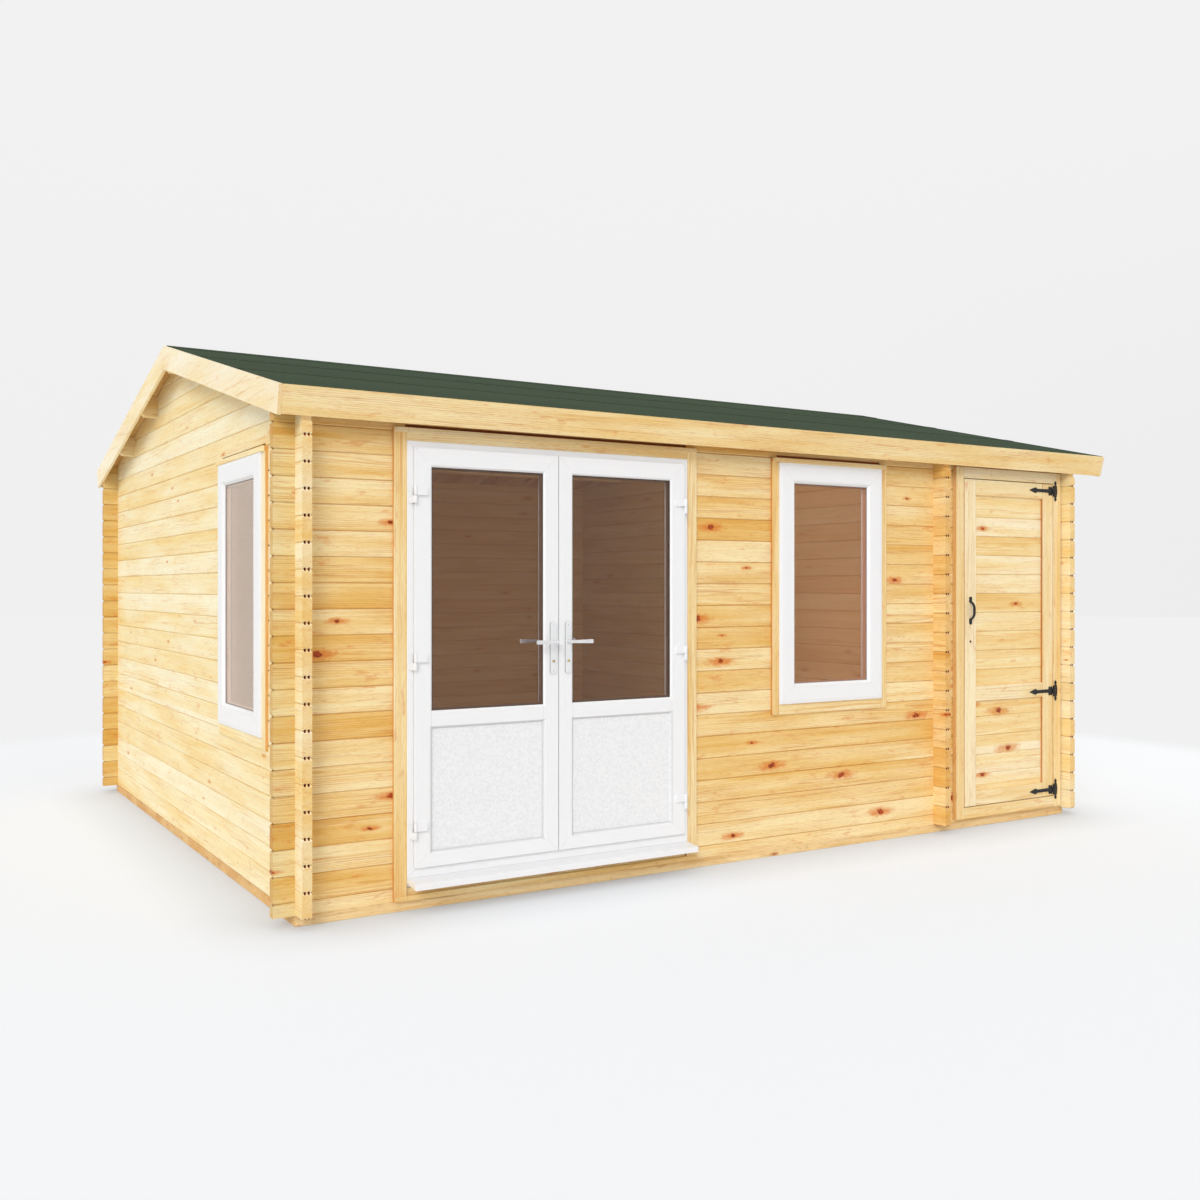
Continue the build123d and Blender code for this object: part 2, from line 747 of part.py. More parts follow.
# ---- double door: lever handles ----
def lever(x, away):
    # spindle through the leaf with a lever outside and inside; away points along the levers
    outer_y = flange_face - lever_reach
    inner_y = body_back + lever_inner_reach
    with BuildSketch(Plane.XZ.offset(-inner_y)) as rod:
        with Locations((x, lever_height)):
            Circle(spindle)
    extrude(rod.sketch, amount=inner_y - outer_y)
    for y in (outer_y, inner_y):
        sections = []
        for reach, height in ((-lever_heel, lever_neck), (lever_length - lever_heel, lever_tip)):
            with BuildSketch(Plane.YZ.offset(x + away * reach)) as section:
                with Locations((y, lever_height)):
                    RectangleRounded(lever_thickness, height, lever_rounding)
            sections.append(section.sketch.face())
        loft(sections)


for name, x, away in (("left", left_spindle, -1), ("right", right_spindle, 1)):
    with BuildPart() as handle:
        lever(x, away)
        tips = handle.faces().filter_by(Axis.X)
        fillet(tips.edges(), lever_rounding - 1)
    handle.part.label = name + "_lever"
    export_step(handle.part, "parts/" + name + "_lever.step")


# ---- windows ----
def window(length, height):
    # window lying in the X-Z plane, outside face at y = 0, lower left corner at the origin
    m = window_member
    block(0, length, 0, window_depth, 0, height)
    block(m, length - m, 0, window_depth, m, height - m, mode=Mode.SUBTRACT)
    bevel_rim(m, length - m, m, height - m, 0, window_bead, 1)
    bevel_rim(m, length - m, m, height - m, window_depth, bead_bevel, -1)
    with BuildSketch(Plane.XZ) as line:
        with Locations((length / 2, height / 2)):
            Rectangle(length - 2 * (m - bead_joint), height - 2 * (m - bead_joint))
            Rectangle(length - 2 * (m - bead_joint + bead_joint_width),
                      height - 2 * (m - bead_joint + bead_joint_width), mode=Mode.SUBTRACT)
    extrude(line.sketch, amount=-bead_joint_width, mode=Mode.SUBTRACT)
    outside = faces().filter_by(Axis.Y).sort_by(Axis.Y)[0]
    rim = outside.outer_wire().edges()
    chamfer(rim, length=window_edge_slope, length2=window_edge_drop, reference=outside)


def pane(length, height):
    m = window_member
    block(m, length - m, window_glass_setback, window_glass_setback + glass_thickness, m, height - m)


front_window_place = Location((window_left, front - window_proud, window_front_base))
side_window_place = Location((left - window_proud, side_rear, window_side_base), (0, 0, -90))
for name, place in (("front", front_window_place), ("side", side_window_place)):
    with BuildPart() as window_frame:
        window(window_width, window_height)
    window_frame.part.label = name + "_window_frame"
    export_step(window_frame.part.moved(place), "parts/" + name + "_window_frame.step")


with BuildPart() as upright_pane:
    pane(window_width, window_height)
with BuildPart() as window_glass:
    add(upright_pane.part.moved(front_window_place))
    add(upright_pane.part.moved(side_window_place))
window_glass.part.label = "window_glass"
export_step(window_glass.part, "parts/window_glass.step")


def window_trim(length, height):
    # outside casings, foot board and drip bar; the wall's outer face is at y = 0
    w, b = window_casing_width, drip_bar_bevel
    casing(0, length, -window_casing_foot, height, w, -architrave, architrave)
    block(0, length, -architrave, 0, -window_casing_foot, 0)
    with BuildSketch(Plane.XY.offset(height)) as plan:
        Polygon((-w, 0), (length + w, 0), (length + w, b - drip_bar), (length + w - b, -drip_bar),
                (b - w, -drip_bar), (-w, b - drip_bar), align=None)
    extrude(plan.sketch, amount=window_bar_height)
    casing(0, length, -w, height + w, w, log_thickness, architrave)
    block(0, length, log_thickness, log_thickness + architrave, -w, 0)
    block(0, length, log_thickness, log_thickness + architrave, height, height + w)


front_trim_place = Location((window_left, front, window_front_base))
side_trim_place = Location((left, side_rear, window_side_base), (0, 0, -90))
for name, place in (("front", front_trim_place), ("side", side_trim_place)):
    with BuildPart() as trim:
        window_trim(window_width, window_height)
    trim.part.label = name + "_window_trim"
    export_step(trim.part.moved(place), "parts/" + name + "_window_trim.step")

# ---- store door ----
store_face = front - store_proud
store_leaf_back = store_face + store_leaf_thickness
store_low = store_base + store_member + moving_gap
store_high = store_head - store_member - moving_gap
store_leaf_left = store_left + store_member + moving_gap
store_leaf_right = store_right - store_hinge_member - moving_gap
with BuildPart() as store_frame:
    block(store_left, store_right, store_face, front, store_base, store_head)
    block(store_void_left, store_void_right, front, inner_front, store_void_base, store_void_top)
    block(store_leaf_left - moving_gap, store_leaf_right + moving_gap, store_face,
          store_leaf_back + moving_gap, store_low - moving_gap, store_high + moving_gap, mode=Mode.SUBTRACT)
    block(store_leaf_left + store_stop, store_leaf_right - store_stop, store_leaf_back, inner_front,
          store_low + store_stop, store_high - store_stop, mode=Mode.SUBTRACT)
store_frame.part.label = "store_frame"
export_step(store_frame.part, "parts/store_frame.step")

panel_x0 = store_leaf_left + store_stile
panel_x1 = store_leaf_right - store_stile
with BuildPart() as store_leaf:
    block(store_leaf_left, store_leaf_right, store_face, store_leaf_back, store_low, store_high)
    spans = ((store_low + store_bottom_rail, store_mid_low), (store_mid_high, store_high - store_top_rail))
    for z0, z1 in spans:
        block(panel_x0, panel_x1, store_face, store_face + store_board_setback, z0, z1, mode=Mode.SUBTRACT)
        block(panel_x0, panel_x1, store_face + store_board_setback + store_board, store_leaf_back, z0, z1,
              mode=Mode.SUBTRACT)
store_leaf.part.label = "store_leaf"
export_step(store_leaf.part, "parts/store_leaf.step")

store_axis_x = store_leaf_right + moving_gap / 2
store_axis_y = store_face - store_barrel - 1
store_plate_left = store_axis_x + store_barrel + 1
store_knuckle = 30


def hinge_plate(z):
    # outline of a fixed plate with a finial above and below
    x0, x1 = store_plate_left, store_plate_left + store_plate_width
    middle = (x0 + x1) / 2
    half = store_plate_height / 2
    shoulder = half - store_plate_finial
    right_side = [(x1 + store_plate_swell, shoulder * 0.3), (x1, shoulder * 0.6), (x1, shoulder - 4),
                  (middle + 5, shoulder), (middle + 10, shoulder + 9), (middle + 8, half - 7), (middle, half)]
    left_side = [(middle - 8, half - 7), (middle - 10, shoulder + 9), (middle - 5, shoulder),
                 (x0, shoulder - 4)]
    upper = right_side + left_side
    return [(x, z + rise) for x, rise in upper] + [(x, z - rise) for x, rise in reversed(upper)]


with BuildPart() as store_hinges_fixed:
    for z in store_hinge_heights:
        with BuildSketch(Plane.XZ.offset(-store_face)):
            Polygon(*hinge_plate(z), align=None)
        extrude(amount=strap_thickness)
        for a, b in ((z + store_knuckle / 2 + 1, z + 32), (z - 32, z - store_knuckle / 2 - 1)):
            block(store_axis_x, store_plate_left + 4, store_axis_y, store_face, a, b)
            tube(store_axis_x, store_axis_y, a, b, store_barrel)
        tube(store_axis_x, store_axis_y, z - 32, z + 32, store_pin)
store_hinges_fixed.part.label = "store_hinges_fixed"
export_step(store_hinges_fixed.part, "parts/store_hinges_fixed.step")

def strap_outline(root, tip, z):
    # notched block at the hinge, straight neck and an arrow head
    neck, root_half, head_half = strap_width / 2, strap_root_height / 2, strap_head_height / 2
    edge = [(root, root_half), (root - 9, root_half), (root - 12, root_half - 4),
            (root - 17, root_half - 4), (root - 20, root_half), (root - 31, root_half), (root - 34, neck),
            (tip + 84, neck - 1), (tip + 72, neck), (tip + 57, head_half), (tip, 0)]
    return [(x, z + rise) for x, rise in edge] + [(x, z - rise) for x, rise in reversed(edge[:-1])]


with BuildPart() as store_hinge_straps:
    for z in store_hinge_heights:
        root = store_axis_x - 12
        tip = store_axis_x - strap_length
        with BuildSketch(Plane.XZ.offset(-store_face)):
            Polygon(*strap_outline(root, tip, z), align=None)
        extrude(amount=strap_thickness)
        half = store_knuckle / 2
        block(root, store_axis_x, store_axis_y - 2, store_axis_y + 4, z - half, z + half)
        block(root, root + 4, store_axis_y - 2, store_face, z - half, z + half)
        tube(store_axis_x, store_axis_y, z - half, z + half, store_barrel)
        with BuildSketch(Plane.XY.offset(z - half)):
            with Locations((store_axis_x, store_axis_y)):
                Circle(store_pin + pin_clearance)
        extrude(amount=store_knuckle, mode=Mode.SUBTRACT)
store_hinge_straps.part.label = "store_hinge_straps"
export_step(store_hinge_straps.part, "parts/store_hinge_straps.step")

pull_x = store_leaf_left + store_stile / 2 + 1
pull_top = pull_base + pull_length
with BuildPart() as store_pull:
    with BuildLine() as bow:
        Spline((pull_x, store_face - 2, pull_base + 30),
               (pull_x, store_face - pull_reach * 0.6, pull_base + 41),
               (pull_x, store_face - pull_reach, pull_base + 62),
               (pull_x, store_face - pull_reach - 1, (pull_base + pull_top) / 2),
               (pull_x, store_face - pull_reach, pull_top - 62),
               (pull_x, store_face - pull_reach * 0.6, pull_top - 41),
               (pull_x, store_face - 2, pull_top - 30))
    with BuildSketch(Plane(origin=bow.line @ 0, x_dir=(1, 0, 0), z_dir=bow.line % 0)):
        Ellipse(pull_width / 2, pull_thickness / 2)
    sweep()
    with BuildSketch(Plane.XZ.offset(-store_face)):
        with Locations((pull_x, pull_base + pull_pad_height / 2), (pull_x, pull_top - pull_pad_height / 2)):
            RectangleRounded(pull_pad_width, pull_pad_height, pull_pad_width / 2 - 1)
    extrude(amount=4)
    with BuildSketch(Plane.XZ.offset(-store_face)):
        with Locations((pull_x, pull_base - keyhole_drop)):
            Circle(7)
    extrude(amount=2)
    block(pull_x - 60, pull_x + 60, store_face, store_leaf_back, pull_base - 40, pull_top + 40,
          mode=Mode.SUBTRACT)
store_pull.part.label = "store_pull"
export_step(store_pull.part, "parts/store_pull.step")
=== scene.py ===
import math
import random

import bmesh
import bpy
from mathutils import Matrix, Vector


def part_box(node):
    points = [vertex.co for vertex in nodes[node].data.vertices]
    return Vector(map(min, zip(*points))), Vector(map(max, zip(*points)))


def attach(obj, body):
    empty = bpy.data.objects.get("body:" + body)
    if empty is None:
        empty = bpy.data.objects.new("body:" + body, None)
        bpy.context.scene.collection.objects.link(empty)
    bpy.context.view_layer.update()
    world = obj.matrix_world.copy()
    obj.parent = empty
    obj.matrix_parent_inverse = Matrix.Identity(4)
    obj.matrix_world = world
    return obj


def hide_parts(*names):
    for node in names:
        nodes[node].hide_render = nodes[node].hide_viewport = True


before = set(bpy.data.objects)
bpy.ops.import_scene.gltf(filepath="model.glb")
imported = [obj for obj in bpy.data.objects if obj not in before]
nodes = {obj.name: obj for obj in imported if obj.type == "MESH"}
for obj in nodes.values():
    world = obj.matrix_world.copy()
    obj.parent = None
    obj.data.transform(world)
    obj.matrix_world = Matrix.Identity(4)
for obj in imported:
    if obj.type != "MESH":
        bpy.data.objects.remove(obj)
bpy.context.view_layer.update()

scene = bpy.context.scene
chance = random.Random(11)
alongX, alongY, alongZ = Vector((1, 0, 0)), Vector((0, 1, 0)), Vector((0, 0, 1))
print("cabin frame loaded,", len(nodes), "CAD pieces")


# a socket that takes part in sums: each operator adds its Math node
class Wire:
    def __init__(self, finish, socket):
        self.finish = finish
        self.socket = socket

    def of(self, name):  # another output of the same node
        return Wire(self.finish, self.socket.node.outputs[name])

    def math(self, operation, *terms):  # this socket comes first
        return self.finish.add("ShaderNodeMath", {"operation": operation}, [self, *terms])

    def __add__(self, other):
        return self.math("ADD", other)

    def __radd__(self, other):
        return self + other

    def __sub__(self, other):
        return self.math("SUBTRACT", other)

    def __rsub__(self, other):
        return self.finish.add("ShaderNodeMath", {"operation": "SUBTRACT"}, [other, self])

    def __mul__(self, other):
        return self.math("MULTIPLY", other)

    def __rmul__(self, other):
        return self * other

    def __truediv__(self, other):
        return self.math("DIVIDE", other)

    def __pow__(self, other):
        return self.math("POWER", other)

    def __gt__(self, other):
        return self.math("GREATER_THAN", other)

    def __lt__(self, other):
        return self.math("LESS_THAN", other)

    def __abs__(self):
        return self.math("ABSOLUTE")


class Finish:  # one material, or the world, and its nodes
    def __init__(self, owner):
        self.owner = owner
        owner.use_nodes = True
        self.tree = owner.node_tree
        self.tree.nodes.clear()

    def add(self, kind, settings=None, values=None, out=0):
        node = self.tree.nodes.new(kind)
        for key, value in (settings or {}).items():
            if key == "stops":
                for count, (place, colour) in enumerate(value):
                    stops = node.color_ramp.elements
                    stop = stops[count] if count < 2 else stops.new(place)
                    stop.position = place
                    stop.color = (*colour, 1)
            else:
                setattr(node, key, value)
        pairs = values.items() if isinstance(values, dict) else enumerate(values or ())
        for key, value in pairs:
            if isinstance(value, Wire):
                self.tree.links.new(value.socket, node.inputs[key])
            elif value is not None:
                node.inputs[key].default_value = value
        return Wire(self, node.outputs[out]) if len(node.outputs) else None

    def place(self):  # x, y and z of the object's own frame
        spot = self.add("ShaderNodeTexCoord", out="Object")
        return self.split(spot)

    def split(self, vector):
        x = self.add("ShaderNodeSeparateXYZ", values=[vector])
        return x, x.of("Y"), x.of("Z")

    def vector(self, x, y, z):
        return self.add("ShaderNodeCombineXYZ", values=[x, y, z])

    def noise(self, x, y, z, detail=2.0, rough=0.5):
        return self.add("ShaderNodeTexNoise", values={
            "Vector": self.vector(x, y, z), "Scale": 1.0, "Detail": detail, "Roughness": rough})

    def speckle(self, place, scale, detail=2.0, rough=0.5):  # noise that is even in all directions
        x, y, z = place
        return self.noise(x * scale, y * scale, z * scale, detail, rough)

    def scatter(self, x, y):  # three even random numbers for each whole x and y
        grains = self.add("ShaderNodeTexWhiteNoise", {"noise_dimensions": "2D"},
                          {"Vector": self.vector(x, y, 0.0)}, "Color")
        return self.split(grains)

    def rise(self, value, low, high):  # 0 below low, 1 above high, smooth between
        return self.add("ShaderNodeMapRange", {"interpolation_type": "SMOOTHSTEP"},
                        {"Value": value, "From Min": low, "From Max": high})

    def fall(self, value, low, high):
        return self.add("ShaderNodeMapRange", {"interpolation_type": "SMOOTHSTEP"},
                        {"Value": value, "From Min": low, "From Max": high,
                         "To Min": 1.0, "To Max": 0.0})

    def blend(self, factor, first, second, kind="MIX"):
        pair = [colour if isinstance(colour, Wire) else (*colour, 1) for colour in (first, second)]
        return self.add("ShaderNodeMix", {"data_type": "RGBA", "blend_type": kind},
                        {0: factor, 6: pair[0], 7: pair[1]}, 2)

    def choose(self, factor, first, second):  # numbers
        return first + factor * (second - first)

    def bump(self, height, strength, distance):
        return self.add("ShaderNodeBump", values={
            "Strength": strength, "Distance": distance, "Height": height})

    def surface(self, **values):
        sockets = {key.replace("_", " "): value for key, value in values.items()}
        self.close(self.add("ShaderNodeBsdfPrincipled", values=sockets))

    def close(self, shader):
        kind = "World" if isinstance(self.owner, bpy.types.World) else "Material"
        self.add(f"ShaderNodeOutput{kind}", values=[shader])


def tint(red, green, blue):  # display values of 0 to 255 as linear light
    def linear(value):
        value = value / 255
        return value / 12.92 if value <= 0.04045 else ((value + 0.055) / 1.055) ** 2.4
    return linear(red), linear(green), linear(blue)


# wood: rings round a wandering pith, streaks, blotches and knots, solid through the piece
timberTones = {  # four tones from pale to dark, then grain lines, the halo round knots and the painted shade in the joints; the front tones, darker and more amber than the gable's, are partly the timber's own tone and partly painted shade for faces that get less light
    "gable": (tint(255, 247, 214), tint(253, 237, 190), tint(249, 221, 152), tint(240, 200, 118),
              tint(226, 170, 84), tint(232, 168, 82), tint(190, 138, 66)),
    "barge": (tint(255, 249, 226), tint(255, 243, 210), tint(252, 231, 178), tint(243, 210, 142),
              tint(230, 180, 100), tint(232, 172, 92), tint(190, 138, 66)),
    "front": (tint(251, 230, 178), tint(244, 211, 145), tint(234, 187, 101), tint(220, 157, 69),
              tint(200, 120, 40), tint(220, 124, 42), tint(158, 88, 28)),
    "store": (tint(254, 240, 204), tint(250, 227, 171), tint(243, 207, 136), tint(230, 180, 101),
              tint(220, 150, 70), tint(222, 142, 60), tint(150, 90, 36)),
    "planed": (tint(252, 237, 199), tint(246, 222, 168), tint(239, 203, 135), tint(226, 177, 101),
               tint(210, 140, 62), tint(218, 136, 54), tint(166, 104, 44)),
    "inside": (tint(246, 222, 172), tint(236, 200, 140), tint(222, 176, 108), tint(194, 138, 76),
               tint(176, 112, 50), tint(190, 112, 46), tint(120, 66, 24)),
}
timberFacts = {
    "ringRate": 135.0,        # growth rings in a metre
    "pithAcross": 0.15,       # how far off a piece's middle its pith may run
    "pithDeep": 0.10,
    "swayAcross": 0.07,
    "swayDeep": 0.03,
    "meanTone": 0.34,         # 0 is the palest of the four tones, 1 the darkest
    "spread": 0.54,           # one log to the next
    "ringDepth": 0.30,
    "lineDepth": 0.58,
    "patchDepth": 1.25,
    "bandDepth": 0.55,
    "streakDepth": 0.30,
    "fleckDepth": 0.20,
    "stainDepth": 0.46,
    "knotSpacing": 0.62,
    "knotShare": 0.30,        # lengths of log with a knot
    "knotLeast": 0.0035,
    "knotGrowth": 0.040,
    "knotOffset": 0.07,       # off the middle of the log
    "knotRagged": 2.1,
    "haloRagged": 2.6,
    "knot": tint(178, 64, 18),
    "knotHeart": tint(104, 32, 8),
    "endTone": tint(238, 211, 166),
    "endDepth": 0.6,
    "roughness": 0.56,
    "specular": 0.26,
    "relief": 0.45,
    "reliefDepth": 0.0007,
}


def sawnWood(f, along, across, deep, index, tones, seed, joint=None, endGrain=None, knots=1.0, extra=(),
             plain=None):
    # index numbers the log or board; noise runs slowly along the grain and fast across it
    facts = timberFacts
    one, two, three = f.scatter(index, seed)
    shift = index * 7.31 + seed * 3.7
    sway = f.noise(along * 0.5, shift, 0.0, 1.0) - 0.5
    pithAcross = (one - 0.5) * facts["pithAcross"] + sway * facts["swayAcross"]
    pithDeep = (two - 0.5) * facts["pithDeep"] + sway * facts["swayDeep"]
    warp = f.noise(along * 2.0 + shift, across * 12, deep * 12) - 0.5

    station = along / facts["knotSpacing"] + one * 17.0 + shift
    cell = station.math("FLOOR")
    knotOne, knotTwo, knotThree = f.scatter(cell, index * 13.0 + seed)
    excess = knotThree - (1.0 - facts["knotShare"] * knots)
    present = excess > 0.0
    knotSize = excess * facts["knotGrowth"] * (0.4 + 0.6 * knots) + facts["knotLeast"]
    knotAlong = (station - cell - 0.2 - knotOne * 0.6) * facts["knotSpacing"]
    knotAcross = across - (knotTwo - 0.5) * facts["knotOffset"]
    rough = f.noise(along * 38, across * 60 + shift, deep * 20, 2.0, 0.6) - 0.5
    reach = ((knotAlong * 0.62) ** 2.0 + knotAcross ** 2.0) ** 0.5
    reach = reach + rough * knotSize * facts["knotRagged"]
    tail = ((knotAlong * 0.34) ** 2.0 + (knotAcross * 1.25) ** 2.0) ** 0.5
    tail = tail + rough * knotSize * facts["haloRagged"]
    core = f.fall(reach, knotSize * 0.70, knotSize * 1.05 + 0.0006) * present
    halo = f.fall(tail, knotSize * 0.8, knotSize * 3.0 + 0.002) * present

    radius = ((across - pithAcross) ** 2.0 + (deep - pithDeep) ** 2.0) ** 0.5
    ring = (radius + warp * 0.016 + halo * 0.010) * facts["ringRate"]
    ring = ring.math("FRACT")
    late = f.rise(ring, 0.35, 0.90) * f.fall(ring, 0.92, 1.0)
    bent = across + warp * 0.012
    streak = f.noise(along * 3.4, bent * 190 + shift, deep * 190, 3.0, 0.6)
    line = f.rise(f.noise(along * 2.6 + shift, bent * 105, deep * 60, 3.0, 0.62), 0.53, 0.72)
    patch = f.noise(along * 1.15 + shift, across * 10, deep * 5, 2.0, 0.55)
    band = f.noise(along * 0.8 + shift, bent * 40, deep * 40)
    cluster = f.rise(f.noise(along * 1.9 + shift, across * 14 + 3.0, deep * 6), 0.40, 0.64)

    tone = facts["meanTone"] + (three - 0.5) * facts["spread"] + (late - 0.3) * facts["ringDepth"] * 0.4
    tone = tone + (patch - 0.5) * facts["patchDepth"] + (band - 0.5) * facts["bandDepth"]
    tone = tone + (streak - 0.5) * facts["streakDepth"]
    lineTone, haloTone, jointShadeTone = tones[4:]
    colour = f.add("ShaderNodeValToRGB", {"stops": list(zip((0.0, 0.34, 0.68, 1.0), tones))}, [tone])
    colour = f.blend(line * (0.25 + cluster * 0.75) * facts["lineDepth"], colour, lineTone)
    colour = f.blend(late * cluster * facts["ringDepth"], colour, lineTone)
    fleck = f.noise(along * 22, across * 240 + shift, deep * 240, 2.0, 0.65)
    colour = f.blend(f.rise(fleck, 0.50, 0.66) * facts["fleckDepth"], colour, lineTone)
    stain = f.rise(f.noise(along * 7.5 + shift, across * 26, deep * 12, 3.0, 0.68), 0.58, 0.74)
    colour = f.blend(stain * facts["stainDepth"], colour, haloTone)
    colour = f.blend(halo * (0.50 + streak * 0.6), colour, haloTone)
    heart = f.rise(f.noise(along * 90, across * 110 + shift, deep * 30, 2.0, 0.6), 0.48, 0.60)
    colour = f.blend(core * min(0.92, 0.35 + knots * 0.65), colour,
                     f.blend(heart, facts["knot"], facts["knotHeart"]))
    height = streak * 0.5 + line * 0.3 + late * 0.3 + core * 0.3
    if plain is not None:
        colour = f.blend(plain * logs["plainShare"], colour, logs["plainTone"])
        joint = joint * (1.0 - plain * logs["plainShare"])
    if endGrain is not None:
        colour = f.blend(endGrain * facts["endDepth"], colour, facts["endTone"], "MULTIPLY")
        height = height + endGrain * f.noise(along * 400, across * 900, deep * 900) * 0.6
    # painted shade in the joints: the joint tone darkens the grooves between pieces, more along some lengths
    # than others
    if joint is not None:
        uneven = f.rise(f.noise(along * 1.6, shift * 3.0, 0.0), 0.25, 0.65)
        joint = joint * (0.45 + uneven * 0.55)
        colour = f.blend(joint, colour, jointShadeTone)
        height = height - joint * 0.6
    if extra:
        factor, over, kind = extra
        colour = f.blend(factor, colour, over, kind)
    matt = facts["roughness"] + (streak - 0.5) * 0.18 - core * 0.12
    f.surface(Base_Color=colour, Roughness=matt, Specular_IOR_Level=facts["specular"],
              Normal=f.bump(height, facts["relief"], facts["reliefDepth"]))


def within(value, low, high):  # 1 from low to high
    return (value > low) * (value < high)


def lanes(value, base, pitch):  # the number of a log or board, and the place across it from its middle
    lane = (value - base) / pitch
    index = lane.math("FLOOR")
    return index, (lane - index - 0.5) * pitch


def facing(f, axis):  # 1 on the faces that look along the axis
    normal = f.add("ShaderNodeTexCoord", out="Normal")
    x, y, z = f.split(normal)
    return f.rise(abs(x if axis == "x" else y), 0.75, 0.85)


def newFinish(name):  # an empty material
    return Finish(bpy.data.materials.new(name))


def dress(finish, *names):  # a CAD piece keeps its shape and takes a finish
    for name in names:
        data = nodes[name].data
        data.materials.clear()
        data.materials.append(finish)


# log walls
logs = {
    "height": 0.114,
    "thickness": 0.044,
    "jointWidth": 0.0022,
    "jointStrength": 0.60,
    "tongueSpacing": 0.0085,  # open tongue and groove ends, either side of the middle
    "tongueWidth": 0.0046,
    "tongueHeight": 0.0068,
    # painted shade in the tongue and groove hollows on the gable and partition log ends
    "tongueShadeTone": tint(176, 84, 40),
    "shallowShadeTone": tint(206, 176, 140),  # painted shade in the tongue and groove hollows on the ends of the front and rear logs
    # painted shade over the front and rear logs where they run past the gable
    "endsShadeTone": tint(239, 242, 238),
    "plainTone": tint(238, 206, 150),    # the faces inside the rooms, laid over their own grain
    "plainShare": 0.55,
    "sillTop": 0.10,
    "overDoor": 0.05,         # how far above an opening the logs beside it still differ
    "overWindow": 0.03,
}
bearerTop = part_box("bearers")[1].z
longJoint = bearerTop + logs["height"] / 2     # logs of the front and rear walls
crossJoint = bearerTop                         # logs of the gables and the partition


def stackedLogs(name, axis, middle, tones, seed, breaks=(), knots=1.0, plainSide=0):
    # breaks are (place along, lowest, highest): past each one a log is another log
    f = newFinish(name)
    x, y, z = f.place()
    along, deep = (x, y - middle) if axis == "x" else (y, x - middle)
    index, local = lanes(z, longJoint if axis == "x" else crossJoint, logs["height"])
    for count, (place, low, high) in enumerate(breaks):
        index = index + (along > place) * within(z, low, high) * (37.0 + 23.0 * count)
    edge = logs["height"] / 2 - abs(local)
    # painted shade along the grooves between logs
    joint = f.fall(edge, logs["jointWidth"] * 0.3, logs["jointWidth"]) * logs["jointStrength"]
    # painted shade in the open tongue and groove hollows on the log ends
    tongue = abs(abs(deep) - logs["tongueSpacing"]) < logs["tongueWidth"]
    tongue = tongue * (edge < logs["tongueHeight"])
    logEndShade = f.blend(tongue, (1.0, 1.0, 1.0), logs["shallowShadeTone" if axis == "x" else "tongueShadeTone"])
    if axis == "x":                                # painted shade: the ends past the gable are darker
        logEndShade = f.blend(along < gableX, logEndShade, f.blend(1.0, logEndShade, logs["endsShadeTone"], "MULTIPLY"))
    plain = None
    if plainSide:                                  # -1 or 1: the side of the middle that is indoors
        start, end = (gableX, farX) if axis == "x" else (frontY, rearY)
        plain = (deep * plainSide > logs["thickness"] * 0.3) * within(along, start, end)
    sawnWood(f, along, local, deep, index, timberTones[tones], seed, joint, facing(f, axis), knots,
             (1.0, logEndShade, "MULTIPLY"), plain)
    return f.owner


doorLow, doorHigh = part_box("door_frame")
windowLow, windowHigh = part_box("front_window_frame")
sideLow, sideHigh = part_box("side_window_frame")
storeLow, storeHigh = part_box("store_frame")
halfLog = logs["thickness"] / 2
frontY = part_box("front_wall_top")[0].y + halfLog
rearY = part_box("rear_wall")[1].y - halfLog
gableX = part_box("left_gable_top")[0].x + halfLog
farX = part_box("right_gable")[0].x + halfLog
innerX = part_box("partition_wall")[0].x + halfLog
frontBreaks = (
    ((doorLow.x + doorHigh.x) / 2, logs["sillTop"], doorHigh.z + logs["overDoor"]),
    ((windowLow.x + windowHigh.x) / 2, windowLow.z, windowHigh.z + logs["overWindow"]),
    ((storeLow.x + storeHigh.x) / 2, logs["sillTop"], storeHigh.z),
)
sideBreaks = (((sideLow.y + sideHigh.y) / 2, sideLow.z, sideHigh.z + logs["overWindow"]),)
dress(stackedLogs("frontLogs", "x", frontY, "front", 3.0, frontBreaks),
      "front_wall_left", "front_wall_middle", "front_wall_under_window", "front_wall_right",
      "front_wall_corner", "front_sills", "front_wall_top")
dress(stackedLogs("rearLogs", "x", rearY, "front", 11.0, (), 0.8, -1), "rear_wall")
dress(stackedLogs("gableLogs", "y", gableX, "gable", 5.0, sideBreaks, 0.42),
      "left_gable_front", "left_gable_under_window", "left_gable_rear", "left_gable_top")
dress(stackedLogs("farGableLogs", "y", farX, "gable", 17.0), "right_gable")
dress(stackedLogs("partitionLogs", "y", innerX, "front", 23.0, (), 0.6, -1), "partition_wall")
print("logs finished")


# planed boards and casings
def planedRun(name, axis, tones, seed, knots=0.8, pitch=None, base=0.0, floor=False):
    # pieces that all lie along one axis, in lanes of the given pitch across it
    f = newFinish(name)
    x, y, z = f.place()
    along, across, deep = (x, z, y) if axis == "x" else (y, x, z)
    if floor:
        across, deep = deep, across
    if pitch:
        index, across = lanes(across, base, pitch)
    else:
        index = (across * 2.0 + 40.0).math("FLOOR")     # pieces half a metre apart differ
    sawnWood(f, along, across, deep, index, timberTones[tones], seed, None, facing(f, axis), knots)
    return f.owner


def standing(f, side, low, high):
    # places along a wall, into it and up it, then the middle and the half width of a box in it
    x, y, z = f.place()
    run, deep = (x, y) if side == "x" else (y, x)
    start, end = getattr(low, side), getattr(high, side)
    return run, deep, z, (start + end) / 2, (end - start) / 2


